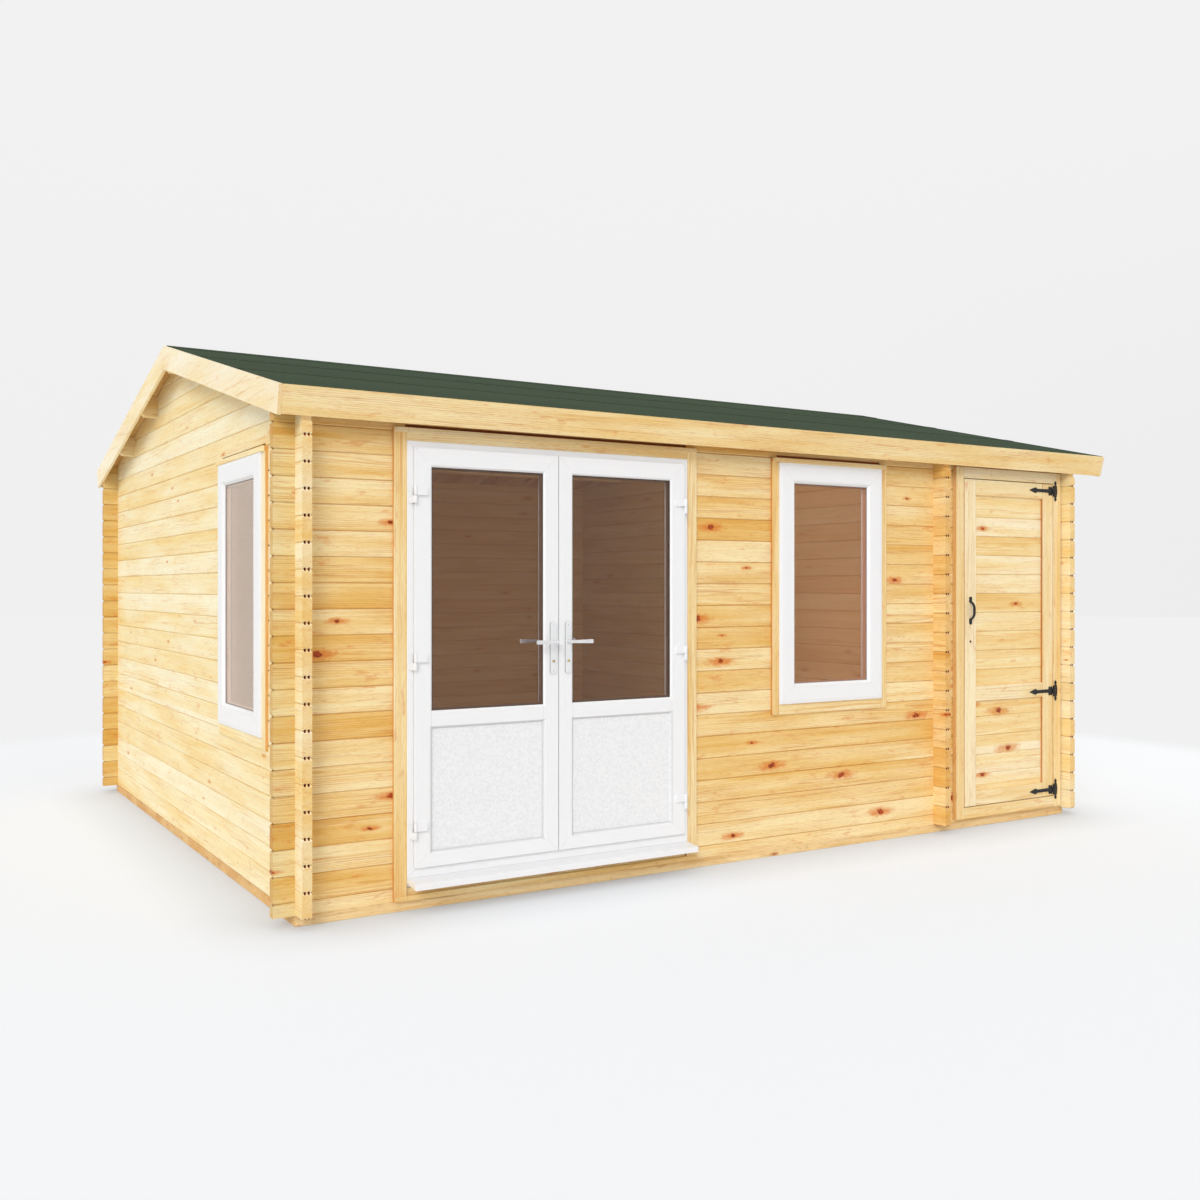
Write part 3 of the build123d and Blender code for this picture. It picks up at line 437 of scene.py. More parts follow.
def planedFrame(name, side, low, high, post, tones, seed, rails=(), knots=0.6, rimShare=0.85):
    # upright posts at both ends of a box and level rails between them; rails are (low, high) zones
    f = newFinish(name)
    run, deep, z, centre, half = standing(f, side, low, high)
    offset = run - centre
    upright = abs(offset) > half - post
    for railLow, railHigh in rails:                   # zones that are level from end to end
        level = within(z, railLow, railHigh)
        upright = upright * (1.0 - level)
    # a painted shade line where posts meet rails
    seam = abs(abs(offset) - (half - post))
    seam = f.fall(seam, 0.0003, 0.0012) * 0.6
    along = f.choose(upright, run, z)
    across = f.choose(upright, z, run)
    index = (offset > 0.0) * 3.0 * upright + upright * 11.0
    index = index + (z > (low.z + high.z) / 2) * 5.0 * (1.0 - upright)
    # painted shade on the faces that look along the wall, darker as if less lit
    rim = facing(f, side) * rimShare
    sawnWood(f, along, across, deep, index, timberTones[tones], seed, seam, None, knots,
             (rim, casings["rimTone"], "MULTIPLY"))
    return f.owner


casings = {
    "doorPost": 0.063,
    "windowPost": 0.045,
    "storePost": 0.066,
    "doorHead": 0.036,        # from the door frame up to the casing's head board
    "doorFoot": 0.070,
    "headZone": 0.2,
    "rimTone": tint(226, 178, 118),      # painted shade on the edges that face sideways
}
trimLow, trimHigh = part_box("door_trim")
dress(planedFrame("doorCasing", "x", trimLow, trimHigh, casings["doorPost"], "planed", 31.0,
                  ((doorHigh.z + casings["doorHead"], trimHigh.z), (0.0, casings["doorFoot"]))), "door_trim")
for name, wood, side, tones, seed, top in (
        ("front_window_trim", "windowCasing", "x", "planed", 37.0, windowHigh.z),
        ("side_window_trim", "sideCasing", "y", "gable", 41.0, sideHigh.z)):
    dress(planedFrame(wood, side, *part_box(name), casings["windowPost"], tones, seed,
                      ((top, top + casings["headZone"]),)), name)
dress(planedFrame("storeFrameWood", "x", storeLow, storeHigh, casings["storePost"], "planed", 43.0,
                  rimShare=0.40), "store_frame")
dress(planedRun("fasciaWood", "x", "front", 47.0, 0.7), "fascias")
dress(planedRun("purlinWood", "x", "planed", 53.0, 0.7), "purlins")
dress(planedRun("bearerWood", "x", "inside", 59.0, 0.5), "bearers")
dress(planedRun("bargeWood", "y", "barge", 61.0, 0.9, 2.0, -3.0), "bargeboards")


def soften(piece, width):  # a small round on every sharp edge
    bevel = piece.modifiers.new("arris", "BEVEL")
    bevel.width = width
    bevel.segments = 2
    bevel.limit_method = "ANGLE"
    bevel.angle_limit = math.radians(40)


class Bench:  # gathers prisms and turned shapes into one mesh
    def __init__(self):
        self.points = []
        self.faces = []

    def prism(self, outline, start, side, up, run):
        first, count = len(self.points), len(outline)
        for shift in (Vector((0, 0, 0)), run):
            self.points += [start + side * u + up * v + shift for u, v in outline]
        self.faces.append([first + i for i in reversed(range(count))])
        self.faces.append([first + count + i for i in range(count)])
        for i in range(count):
            j = (i + 1) % count
            self.faces.append([first + i, first + j, first + count + j, first + count + i])

    def block(self, low, high):
        low, high = Vector(low), Vector(high)
        size = high - low
        self.prism([(0, 0), (size.x, 0), (size.x, size.y), (0, size.y)], low, alongX, alongY, alongZ * size.z)

    def ring(self, low, high, width, side="x"):
        # a mitred rectangle standing in the plane of side and z, open in the middle
        across, depth = (alongX, alongY) if side == "x" else (alongY, alongX)
        depth = depth * (high - low).dot(depth)
        length = (high - low).dot(across)
        tall = high.z - low.z
        corners = [(0, 0), (length, 0), (length, tall), (0, tall)]
        inner = [(width, width), (length - width, width), (length - width, tall - width),
                 (width, tall - width)]
        for i in range(4):
            j = (i + 1) % 4
            self.prism([corners[i], corners[j], inner[j], inner[i]], Vector(low), across, alongZ, depth)

    def turned(self, profile, centre, axis, steps):
        # profile is (radius, height) pairs, from the foot to the crown, turned round the axis
        axis = Vector(axis).normalized()
        side = axis.orthogonal().normalized()
        up = axis.cross(side)
        first = len(self.points)
        for radius, height in profile:
            for i in range(steps):
                turn = 2 * math.pi * i / steps
                self.points.append(Vector(centre) + axis * height
                                   + (side * math.cos(turn) + up * math.sin(turn)) * radius)
        for level in range(len(profile) - 1):
            for i in range(steps):
                a, b = first + level * steps + i, first + level * steps + (i + 1) % steps
                self.faces.append([a, b, b + steps, a + steps])
        self.faces.append([first + i for i in reversed(range(steps))])
        self.faces.append([first + (len(profile) - 1) * steps + i for i in range(steps)])

    def piece(self, name, finish, body, slot, arris=0.0):
        data = bpy.data.meshes.new(name)
        data.from_pydata([tuple(point) for point in self.points], [], self.faces)
        shape = bmesh.new()
        shape.from_mesh(data)
        bmesh.ops.recalc_face_normals(shape, faces=shape.faces)
        shape.to_mesh(data)
        shape.free()
        data.materials.append(finish)
        made = bpy.data.objects.new(name, data)
        scene.collection.objects.link(made)
        if arris:
            soften(made, arris)
        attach(made, body)
        return made


# packing boards behind the settling slots over the frames, coloured dark brown as painted shade of the slots
packing = {
    "doorSlot": (2.170, 2.186),
    "windowSlot": 0.025,      # above the window frame
    "slot": 0.016,
    "setback": 0.012,
    "depth": 0.018,
    # dark brown: painted shade in the slots
    "tone": tint(150, 78, 34),
}


def shadedPackingWood():
    f = newFinish("shadedPackingWood")
    x, y, z = f.place()
    stripe = f.noise(x * 4, y * 4, z * 200, 2.0, 0.6)
    paler = tuple(min(1.0, part * 1.5) for part in packing["tone"])
    f.surface(Base_Color=f.blend(stripe, packing["tone"], paler), Roughness=0.7,
              Normal=f.bump(stripe, 0.3, 0.0005))
    return f.owner


bench = Bench()
wallFront, wallSide = frontY - halfLog, gableX - halfLog
back, front = wallFront + packing["setback"], wallFront + packing["setback"] + packing["depth"]
bench.block((doorLow.x, back, packing["doorSlot"][0]), (doorHigh.x, front, packing["doorSlot"][1]))
slotLow = windowHigh.z + packing["windowSlot"]
bench.block((windowLow.x, back, slotLow), (windowHigh.x, front, slotLow + packing["slot"]))
slotLow = sideHigh.z + packing["windowSlot"]
back, front = wallSide + packing["setback"], wallSide + packing["setback"] + packing["depth"]
bench.block((back, sideLow.y, slotLow), (front, sideHigh.y, slotLow + packing["slot"]))
bench.piece("packingBoards", shadedPackingWood(), "building", "sawn")
print("casings and edge boards finished")


# roof boards, tongued and grooved, with a V joint below
roof = {
    "eaves": 2.297,           # height of the roof's top plane over the outer edge of the fascia
    "cover": 0.0888,
    "gap": 0.0012,
    "vee": 0.004,
    "feltDepth": 0.003,
    "boardDepth": 0.019,
    "fascia": 0.018,
}
boardLow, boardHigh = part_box("roof_boards_front")
eavesY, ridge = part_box("bargeboards")[1].yz
slope = math.atan2(ridge - roof["eaves"], eavesY)
slopeLength = eavesY / math.cos(slope)


def downSlope(front):  # unit vectors down the slope and square up from it
    sign = -1 if front else 1
    down = Vector((0, sign * math.cos(slope), -math.sin(slope)))
    up = Vector((0, sign * math.sin(slope), math.cos(slope)))
    return down, up


bench = Bench()
count = round((boardHigh.x - boardLow.x) / roof["cover"])
cover = (boardHigh.x - boardLow.x) / count
top = -roof["feltDepth"]
base = top - roof["boardDepth"]
for front in (True, False):
    down, up = downSlope(front)
    for i in range(count):
        start = boardLow.x + i * cover + roof["gap"] / 2
        width = cover - roof["gap"]
        vee = roof["vee"]
        outline = [(0, base + vee), (vee, base), (width - vee, base), (width, base + vee),
                   (width, top), (0, top)]
        head = Vector((start, 0, ridge)) + down * (-base * math.tan(slope))
        run = down * (slopeLength - roof["fascia"] + base * math.tan(slope))
        bench.prism(outline, head, alongX, up, run)
roofBoardWood = planedRun("roofBoardWood", "y", "inside", 67.0, 0.8, cover, boardLow.x)
roofBoards = bench.piece("roofBoards", roofBoardWood, "building", "sawn")
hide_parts("roof_boards_front", "roof_boards_rear")

# felt in lapped strips, with a cap along the ridge and clout nails
felt = {
    "strip": 0.80,
    "lap": 0.075,
    "thickness": 0.0020,
    "cap": 0.17,
    "eavesInset": 0.0015,
    "ridgeInset": 0.004,
    "firstLap": 0.2,
    "leastStrip": 0.1,
    "climb": 0.01,            # run over which a lap climbs onto the strip below
    "nailPitch": 0.15,
    "nailInset": 0.03,        # from a strip's foot
    "nailEnd": 0.05,          # from the end of the roof
    "nailStray": 0.004,
    "nailHead": 0.0045,
    "nailProfile": ((1.0, 0.0), (1.0, 0.0008), (0.6, 0.0016), (0.2, 0.0018)),
    "tone": tint(62, 77, 57),
    "dark": tint(44, 56, 42),
    "pale": tint(80, 95, 73),
}


def mineralFelt():
    f = newFinish("mineralFelt")
    x, y, z = f.place()
    grit = f.speckle((x, y, z), 420, 1.0, 0.6)
    streak = f.noise(x * 1.1, y * 26, z * 8)
    cloud = f.noise(x * 0.9, y * 2.0, z * 2.0)
    colour = f.blend(f.rise(grit, 0.30, 0.72), felt["dark"], felt["pale"])
    colour = f.blend(0.62, colour, felt["tone"])
    colour = f.blend((streak - 0.35) * 0.75, colour, felt["dark"])
    colour = f.blend((cloud - 0.45) * 0.5, colour, felt["pale"])
    f.surface(Base_Color=colour, Roughness=0.94 + (grit - 0.5) * 0.08, Specular_IOR_Level=0.08,
              Normal=f.bump(grit + streak * 0.4, 0.6, 0.0009))
    return f.owner


feltFinish = mineralFelt()
bench = Bench()
nails = Bench()
feltLow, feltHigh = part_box("roof_felt")
thick = felt["thickness"]
nailProfile = [(felt["nailHead"] * share, height) for share, height in felt["nailProfile"]]
for front in (True, False):
    down, up = downSlope(front)
    low = slopeLength - felt["eavesInset"]
    layer = 0
    edges = []
    while low > felt["leastStrip"]:
        high = max(low - felt["strip"], felt["ridgeInset"])
        # each strip's foot lies on the head of the one below it
        foot = 0.0 if layer == 0 else thick
        lap = low - (felt["lap"] if layer else felt["firstLap"])
        points = [(high, 0.0), (lap, 0.0), (lap + felt["climb"], foot), (low, foot),
                  (low, foot + thick), (lap + felt["climb"], foot + thick), (lap, thick), (high, thick)]
        bench.prism(points, Vector((feltLow.x, 0, ridge)), down, up, alongX * (feltHigh.x - feltLow.x))
        edges.append((low - felt["nailInset"], foot + thick))
        low -= felt["strip"] - felt["lap"]
        layer += 1
    for place, lift in edges + [(felt["cap"] - felt["nailInset"], thick * 2)]:
        step = feltLow.x + felt["nailEnd"]
        while step < feltHigh.x:
            stray = chance.uniform(-felt["nailStray"], felt["nailStray"])
            spot = Vector((step, 0, ridge)) + down * (place + stray) + up * lift
            nails.turned(nailProfile, spot, up, 8)
            step += felt["nailPitch"]
rise = math.sin(slope) * felt["cap"]
reachY = math.cos(slope) * felt["cap"]
tall = thick / math.cos(slope)
bench.prism([(-reachY, ridge - rise + tall), (0, ridge + tall), (reachY, ridge - rise + tall),
             (reachY, ridge - rise + tall * 2), (0, ridge + tall * 2), (-reachY, ridge - rise + tall * 2)],
            alongX * feltLow.x, alongY, alongZ, alongX * (feltHigh.x - feltLow.x))
feltStrips = bench.piece("feltStrips", feltFinish, "building", "felt")
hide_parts("roof_felt")


def plainMetal(name, colour, rough, metallic=1.0, grain=220.0, depth=0.0002, strength=0.25):
    f = newFinish(name)
    place = f.place()
    speck = f.speckle(place, grain, 2.0, 0.55)
    uneven = f.speckle(place, 14)
    pale = tuple(min(1.0, part * 1.25 + 0.01) for part in colour)
    shade = f.blend(f.rise(uneven, 0.4, 0.7) * 0.4, colour, pale)
    f.surface(Base_Color=shade, Metallic=metallic, Roughness=rough + (speck - 0.5) * 0.12,
              Normal=f.bump(speck, strength, depth))
    return f.owner


galvanised = plainMetal("galvanisedSteel", tint(112, 120, 110), 0.55)
nails.piece("feltNails", galvanised, "building", "steel")
print("roof laid")

# floors: boards on joists
flooring = {
    "cover": 0.0885,
    "gap": 0.0010,
    "depth": 0.019,
    "arris": 0.0015,
    "joist": 0.045,
    "joistArris": 0.002,
    "clear": 0.0003,          # between the joists and the boards
    "bearer": 0.060,
}


def layFloor(label, node, spaces, seed):
    low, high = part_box(node)
    boards, joists = Bench(), Bench()
    count = round((high.y - low.y) / flooring["cover"])
    cover = (high.y - low.y) / count
    a = flooring["arris"]
    for i in range(count):
        width = cover - flooring["gap"]
        outline = [(0, 0), (width, 0), (width, flooring["depth"] - a), (width - a, flooring["depth"]),
                   (a, flooring["depth"]), (0, flooring["depth"] - a)]
        start = Vector((low.x, low.y + i * cover + flooring["gap"] / 2, high.z - flooring["depth"]))
        boards.prism(outline, start, alongY, alongZ, alongX * (high.x - low.x))
    first, last = low.x + flooring["bearer"], high.x - flooring["bearer"]
    inset = flooring["bearer"] - logs["thickness"]
    for i in range(spaces + 1):
        x = first + (last - first - flooring["joist"]) * i / spaces
        joists.block((x, low.y + inset, 0),
                     (x + flooring["joist"], high.y - inset, high.z - flooring["depth"] - flooring["clear"]))
    boardWood = planedRun(label + "FloorWood", "x", "inside", seed, 1.0, cover, low.y, True)
    laid = boards.piece(label + "FloorBoards", boardWood, "building", "floor")
    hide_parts(node)
    joistWood = planedRun(label + "JoistWood", "y", "inside", seed + 2)
    joists.piece(label + "Joists", joistWood, "building", "floor", flooring["joistArris"])


layFloor("main", "floor_main", 6, 71.0)
layFloor("store", "floor_store", 2, 79.0)
print("floors laid")

# white uPVC: foil grain along each member, mitred corners
plastic = {
    "colour": tint(244, 244, 245),
    "shade": tint(233, 234, 236),
    "roughness": 0.34,
    "grainDepth": 0.00035,
    "seamTone": tint(198, 199, 201),
    "seamDepth": 0.5,
    "panelLine": 0.009,            # width of the grey line round a door panel, partly its seal and partly painted shade at its edge
    "panelLineDepth": 0.55,
    "mitre": 0.108,           # how far in the corner joints run
    "leafMitre": 0.060,
    "frameMitre": 0.050,
}


def upvc(name, side, low, high, reach=plastic["mitre"], rails=(), panel=None):
    # mitred at the corners as far in as reach; rails are level (low, high, inset from the sides)
    f = newFinish(name)
    run, deep, z, centre, half = standing(f, side, low, high)
    fromSide = half - abs(run - centre)
    fromEnd = (high.z - low.z) / 2 - abs(z - (low.z + high.z) / 2)
    upright = fromSide < fromEnd
    corner = (fromSide < reach) * (fromEnd < reach)
    seam = f.fall(abs(fromSide - fromEnd), 0.0004, 0.0016) * corner
    for railLow, railHigh, inset in rails:
        level = within(z, railLow, railHigh)
        upright = upright * (1.0 - level * (fromSide > inset))
        seam = seam * (1.0 - level) + f.fall(abs(fromSide - inset), 0.0004, 0.0014) * level
    along = f.choose(upright, run, z)
    across = f.choose(upright, z, run)
    foil = f.noise(along * 9, across * 230, deep * 230, 3.0, 0.62)
    wave = f.noise(along * 3, across * 60, deep * 60)
    height = foil * 0.7 + wave * 0.5 - seam * 0.8
    colour = f.blend(f.rise(foil, 0.35, 0.75) * 0.30, plastic["colour"], plastic["shade"])
    if panel:
        panelLow, panelHigh, inset = panel
        inside = within(z, panelLow, panelHigh) * (fromSide > inset)
        stipple = f.speckle((run, deep, z), 95, 2.0, 0.6)
        height = f.choose(inside, height, f.rise(stipple, 0.35, 0.65) * 3.0)
        colour = f.blend(inside * f.rise(stipple, 0.42, 0.62) * 0.85, colour, plastic["shade"])
        # grey line round the panel: partly the seal, partly painted shade at the panel's edge
        panelLine = plastic["panelLine"]
        outline = f.fall(abs(fromSide - inset), 0.0, panelLine) * within(z, panelLow - panelLine, panelHigh + panelLine)
        level = f.fall(abs(z - panelLow), 0.0, panelLine).math("MAXIMUM", f.fall(abs(z - panelHigh), 0.0, panelLine))
        outline = outline.math("MAXIMUM", level * (fromSide > inset))
        colour = f.blend(outline * plastic["panelLineDepth"], colour, plastic["seamTone"])
    colour = f.blend(seam * plastic["seamDepth"], colour, plastic["seamTone"])
    f.surface(Base_Color=colour, Roughness=plastic["roughness"] + (foil - 0.5) * 0.1,
              Specular_IOR_Level=0.45, Normal=f.bump(height, 0.40, plastic["grainDepth"]))
    return f.owner


doorLeaf = {
    "midLow": 0.817,
    "midHigh": 0.895,
    "midBead": 0.008,
    "stile": 0.080,
    "foot": 0.260,
    "panelBead": 0.002,
}
for side in ("left", "right"):
    low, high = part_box(side + "_leaf")
    midRail = (doorLeaf["midLow"] - doorLeaf["midBead"], doorLeaf["midHigh"] + doorLeaf["midBead"],
               doorLeaf["stile"])
    panel = (doorLeaf["foot"], doorLeaf["midLow"], doorLeaf["stile"] - doorLeaf["panelBead"])
    leafPlastic = upvc(side + "LeafPlastic", "x", low, high, plastic["leafMitre"], (midRail,), panel)
    dress(leafPlastic, side + "_leaf")
dress(upvc("doorFramePlastic", "x", doorLow, doorHigh, plastic["frameMitre"]), "door_frame")
dress(upvc("windowPlastic", "x", windowLow, windowHigh), "front_window_frame")
dress(upvc("sideWindowPlastic", "y", sideLow, sideHigh), "side_window_frame")
cillLow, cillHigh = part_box("door_cill")
wholeCill = (-1.0, 1.0, -0.1)          # a rail zone that takes in the whole cill
dress(upvc("cillPlastic", "x", cillLow, cillHigh, 0.0, (wholeCill,)), "door_cill")


def smoothPlastic(name, colour, rough, past=None):
    # past is (x, colour): another colour on the pieces beyond that x
    f = newFinish(name)
    place = f.place()
    dimple = f.speckle(place, 300, 1.0)
    shade = tuple(part * 0.93 for part in colour)
    shown = f.blend(f.rise(dimple, 0.4, 0.7) * 0.5, colour, shade)
    if past:
        shown = f.blend(place[0] > past[0], shown, past[1])
    f.surface(Base_Color=shown, Roughness=rough + (dimple - 0.5) * 0.1, Specular_IOR_Level=0.5,
              Normal=f.bump(dimple, 0.15, 0.0002))
    return f.owner


dress(smoothPlastic("hingeWhite", tint(241, 242, 244), 0.28), "door_hinges_fixed")
satinSteel = plainMetal("satinSteel", tint(226, 227, 229), 0.26, 0.55, 500.0, 0.00008, 0.2)
dress(satinSteel, "left_lever", "right_lever")


fittings = {
    "white": tint(243, 243, 245),
    "brushed": (tint(230, 232, 234), tint(242, 243, 244)),
    # painted shade on the side faces of the backplates
    "rim": tint(128, 131, 135),
    "spindleInset": 0.010,    # from the heel of a lever
    "plateHalf": 0.03,
}


def fittingFinish(name, fromX, toX):
    # white hinge wings at the hinge side, brushed backplates at the meeting stile, with painted shade on the
    # backplates' side faces
    f = newFinish(name)
    x, y, z = f.place()
    plate = within(x, fromX, toX)
    # painted shade on the plates' faces that don't look to the front or back
    rim = (1.0 - facing(f, "y")) * plate
    brush = f.noise(x * 900, y * 60, z * 30, 2.0, 0.6)
    metal = f.blend(brush, *fittings["brushed"])
    colour = f.blend(plate, fittings["white"], metal)
    colour = f.blend(rim * 0.8, colour, fittings["rim"])
    f.surface(Base_Color=colour, Metallic=plate * 0.25, Roughness=0.30 + (brush - 0.5) * 0.12 * plate,
              Normal=f.bump(brush * plate, 0.1, 0.0001))
    return f.owner


spindles = {"left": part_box("left_lever")[1].x - fittings["spindleInset"],
            "right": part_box("right_lever")[0].x + fittings["spindleInset"]}
for side, spindle in spindles.items():
    dress(fittingFinish(side + "Fittings", spindle - fittings["plateHalf"], spindle + fittings["plateHalf"]),
          side + "_leaf_fittings")

# double glazing: two panes, a spacer and a gasket each side
glazing = {
    "pane": 0.004,
    "spacerInset": 0.0005,
    "spacer": 0.009,
    "gasket": 0.0028,
    "gasketProud": 0.003,
    "clear": 0.0002,          # between the panes and the frame
    "gasketClear": 0.0001,
    "doorTint": (0.950, 0.944, 0.950),
    "windowTint": (0.961, 0.921, 0.905),
    "reflectance": 0.018,     # coated panes
    "mirrorTint": (1.0, 0.93, 0.83),
    "mirrorPower": 4.0,
}


def clearGlass(name, colour):
    f = newFinish(name)
    place = f.place()
    edgeOn = f.add("ShaderNodeLayerWeight", values={"Blend": 0.5}, out="Facing")
    gloss = edgeOn ** glazing["mirrorPower"] * (1.0 - glazing["reflectance"]) + glazing["reflectance"]
    smear = f.speckle(place, 3.0)
    ripple = f.bump(f.speckle(place, 1.3, 1.0), 0.05, 0.01)
    through = f.add("ShaderNodeBsdfTransparent", values={"Color": (*colour, 1)})
    mirror = f.add("ShaderNodeBsdfAnisotropic", values={
        "Color": (*glazing["mirrorTint"], 1), "Roughness": 0.02 + smear * 0.03, "Normal": ripple})
    f.close(f.add("ShaderNodeMixShader", values=[gloss, through, mirror]))
    return f.owner


doorGlass = clearGlass("doorGlass", glazing["doorTint"])
windowGlass = clearGlass("windowGlass", glazing["windowTint"])
rubber = smoothPlastic("gasketRubber", tint(72, 62, 56), 0.6)
spacerFinish = smoothPlastic("spacerBar", tint(120, 92, 72), 0.5)
paleRubber = smoothPlastic("paleGasketRubber", tint(150, 142, 136), 0.6)
paleSpacer = smoothPlastic("paleSpacerBar", tint(236, 220, 210), 0.5,
                           (windowLow.x, tint(196, 152, 124)))


def glaze(label, node, boxes, body, glassFinish, gasketFinish, barFinish):
    panes, spacers, gaskets = Bench(), Bench(), Bench()
    for low, high, side in boxes:
        depth = "y" if side == "x" else "x"
        near, far = getattr(low, depth), getattr(high, depth)

        def between(start, end, shrink):
            a, b = low.copy(), high.copy()
            setattr(a, depth, start)
            setattr(b, depth, end)
            setattr(a, side, getattr(a, side) + shrink)
            setattr(b, side, getattr(b, side) - shrink)
            a.z += shrink
            b.z -= shrink
            return a, b

        panes.block(*between(near, near + glazing["pane"], glazing["clear"]))
        panes.block(*between(far - glazing["pane"], far, glazing["clear"]))
        spacers.ring(*between(near + glazing["pane"], far - glazing["pane"], glazing["spacerInset"]),
                     glazing["spacer"], side)
        proud, clear = glazing["gasketProud"], glazing["gasketClear"]
        for start, end in ((near - proud, near - clear), (far + clear, far + proud)):
            gaskets.ring(*between(start, end, clear), glazing["gasket"], side)
    made = panes.piece(label + "Panes", glassFinish, body, "glass")
    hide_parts(node)
    spacers.piece(label + "Spacers", barFinish, body, "steel")
    gaskets.piece(label + "Gaskets", gasketFinish, body, "black")


for side in ("left", "right"):
    pane = (*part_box(side + "_leaf_glass"), "x")
    glaze(side + "Leaf", side + "_leaf_glass", [pane], side + "_door", doorGlass, rubber, spacerFinish)
windowFacts = {"member": 0.108, "setback": 0.018, "depth": 0.024}
member, setback, depth = windowFacts["member"], windowFacts["setback"], windowFacts["depth"]
frontPane = (Vector((windowLow.x + member, windowLow.y + setback, windowLow.z + member)),
             Vector((windowHigh.x - member, windowLow.y + setback + depth, windowHigh.z - member)), "x")
sidePane = (Vector((sideLow.x + setback, sideLow.y + member, sideLow.z + member)),
            Vector((sideLow.x + setback + depth, sideHigh.y - member, sideHigh.z - member)), "y")
glaze("window", "window_glass", [frontPane, sidePane], "building", windowGlass, paleRubber, paleSpacer)
print("doors and windows glazed")

# door furniture: key cylinders and screws
brass = plainMetal("brass", tint(214, 176, 92), 0.28)
blackIron = plainMetal("blackIron", (0.016, 0.016, 0.017), 0.46, 0.35, 260.0, 0.0004, 0.4)
furniture = {
    "keyDrop": 0.093,         # below the lever's spindle
    "plateTop": 0.080,        # screws, above and below the spindle
    "plateFoot": 0.138,
    "screwHead": 0.0042,
    "plateDepth": 0.006,
    "keyProud": 0.003,
    "cylinder": ((0.0058, -0.001), (0.0058, 0.0012), (0.0050, 0.0022), (0.0030, 0.0024)),
    "keyway": (0.0010, 0.0030, 0.0034, 0.0036),   # half width, depth, down and up
}


def screwHead(bench, spot, axis, radius, dome=0.35):
    # domed head with a small sunk disc for its recess
    bench.turned([(radius, 0.0), (radius, radius * 0.12), (radius * 0.8, radius * dome * 0.8),
                  (radius * 0.42, radius * dome), (radius * 0.36, radius * dome * 0.4)],
                 spot, axis, 14)


for side, spindle in spindles.items():
    leverLow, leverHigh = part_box(side + "_lever")
    leafFront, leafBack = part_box(side + "_leaf")
    body = side + "_door"
    height = (leverLow.z + leverHigh.z) / 2
    outFace, inFace = leafFront.y - furniture["plateDepth"], leafBack.y + furniture["plateDepth"]
    half, depth, down, up = furniture["keyway"]
    keys, slots, screws = Bench(), Bench(), Bench()
    for face, way in ((outFace, -1), (inFace, 1)):
        spot = Vector((spindle, face + way * furniture["keyProud"], height - furniture["keyDrop"]))
        keys.turned(furniture["cylinder"], spot, (0, way, 0), 24)
        slots.block(spot + Vector((-half, min(0, way * depth), -down)),
                    spot + Vector((half, max(0, way * depth), up)))
        for drop in (-furniture["plateTop"], furniture["plateFoot"]):
            screwHead(screws, Vector((spindle, face, height - drop)), (0, way, 0), furniture["screwHead"])
    keys.piece(side + "KeyCylinders", brass, body, "steel")
    slots.piece(side + "Keyways", blackIron, body, "black")
    screws.piece(side + "PlateScrews", satinSteel, body, "steel")

# store door: framed leaf with level boards, both faces
storeDoor = {
    "stile": 0.099,
    "topRail": 0.096,
    "midLow": 0.764,
    "midHigh": 0.854,
    "bottomRail": 0.089,
    "boardFace": 0.014,       # boards behind the face of the frame
    "board": 0.018,
    "pitch": 0.1162,
    "vee": 0.0035,
    "gap": 0.0010,
    "housed": 0.006,
    "firstBoard": 0.85,       # share of the pitch left for the lowest board of each panel
    "leastBoard": 0.03,
    "railClear": 0.0002,
    "railSunk": 0.0004,
    "arris": 0.0018,
}
leafLow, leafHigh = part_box("store_leaf")
frameBench, boardBench = Bench(), Bench()
inner = (leafLow.x + storeDoor["stile"], leafHigh.x - storeDoor["stile"])
for x0, x1 in ((leafLow.x, inner[0]), (inner[1], leafHigh.x)):
    frameBench.block((x0, leafLow.y, leafLow.z), (x1, leafHigh.y, leafHigh.z))
rails = ((leafLow.z, leafLow.z + storeDoor["bottomRail"]), (storeDoor["midLow"], storeDoor["midHigh"]),
         (leafHigh.z - storeDoor["topRail"], leafHigh.z))
clear, sunk = storeDoor["railClear"], storeDoor["railSunk"]
for z0, z1 in rails:
    frameBench.block((inner[0] + clear, leafLow.y + sunk, z0), (inner[1] - clear, leafHigh.y - sunk, z1))
face, back = leafLow.y + storeDoor["boardFace"], leafLow.y + storeDoor["boardFace"] + storeDoor["board"]
v, g = storeDoor["vee"], storeDoor["gap"] / 2
for z0, z1 in ((rails[0][1], rails[1][0]), (rails[1][1], rails[2][0])):
    lowEdge = z0 - storeDoor["housed"]
    highEdge = z0 + storeDoor["pitch"] * storeDoor["firstBoard"]
    while lowEdge < z1:
        highEdge = z1 + storeDoor["housed"] if highEdge > z1 - storeDoor["leastBoard"] else highEdge
        outline = [(face + v, lowEdge + g), (back - v, lowEdge + g), (back, lowEdge + g + v),
                   (back, highEdge - g - v), (back - v, highEdge - g), (face + v, highEdge - g),
                   (face, highEdge - g - v), (face, lowEdge + g + v)]
        boardBench.prism(outline, alongX * (inner[0] - storeDoor["housed"]), alongY, alongZ,
                         alongX * (inner[1] - inner[0] + 2 * storeDoor["housed"]))
        lowEdge, highEdge = highEdge, highEdge + storeDoor["pitch"]


def storeBoardWood():
    f = newFinish("storeBoardWood")
    x, y, z = f.place()
    foot = rails[1][1] + storeDoor["pitch"] * storeDoor["firstBoard"]
    index, across = lanes(z, foot, storeDoor["pitch"])
    sawnWood(f, x, across, y - leafLow.y, index, timberTones["store"], 89.0, None, None, 1.1)
    return f.owner


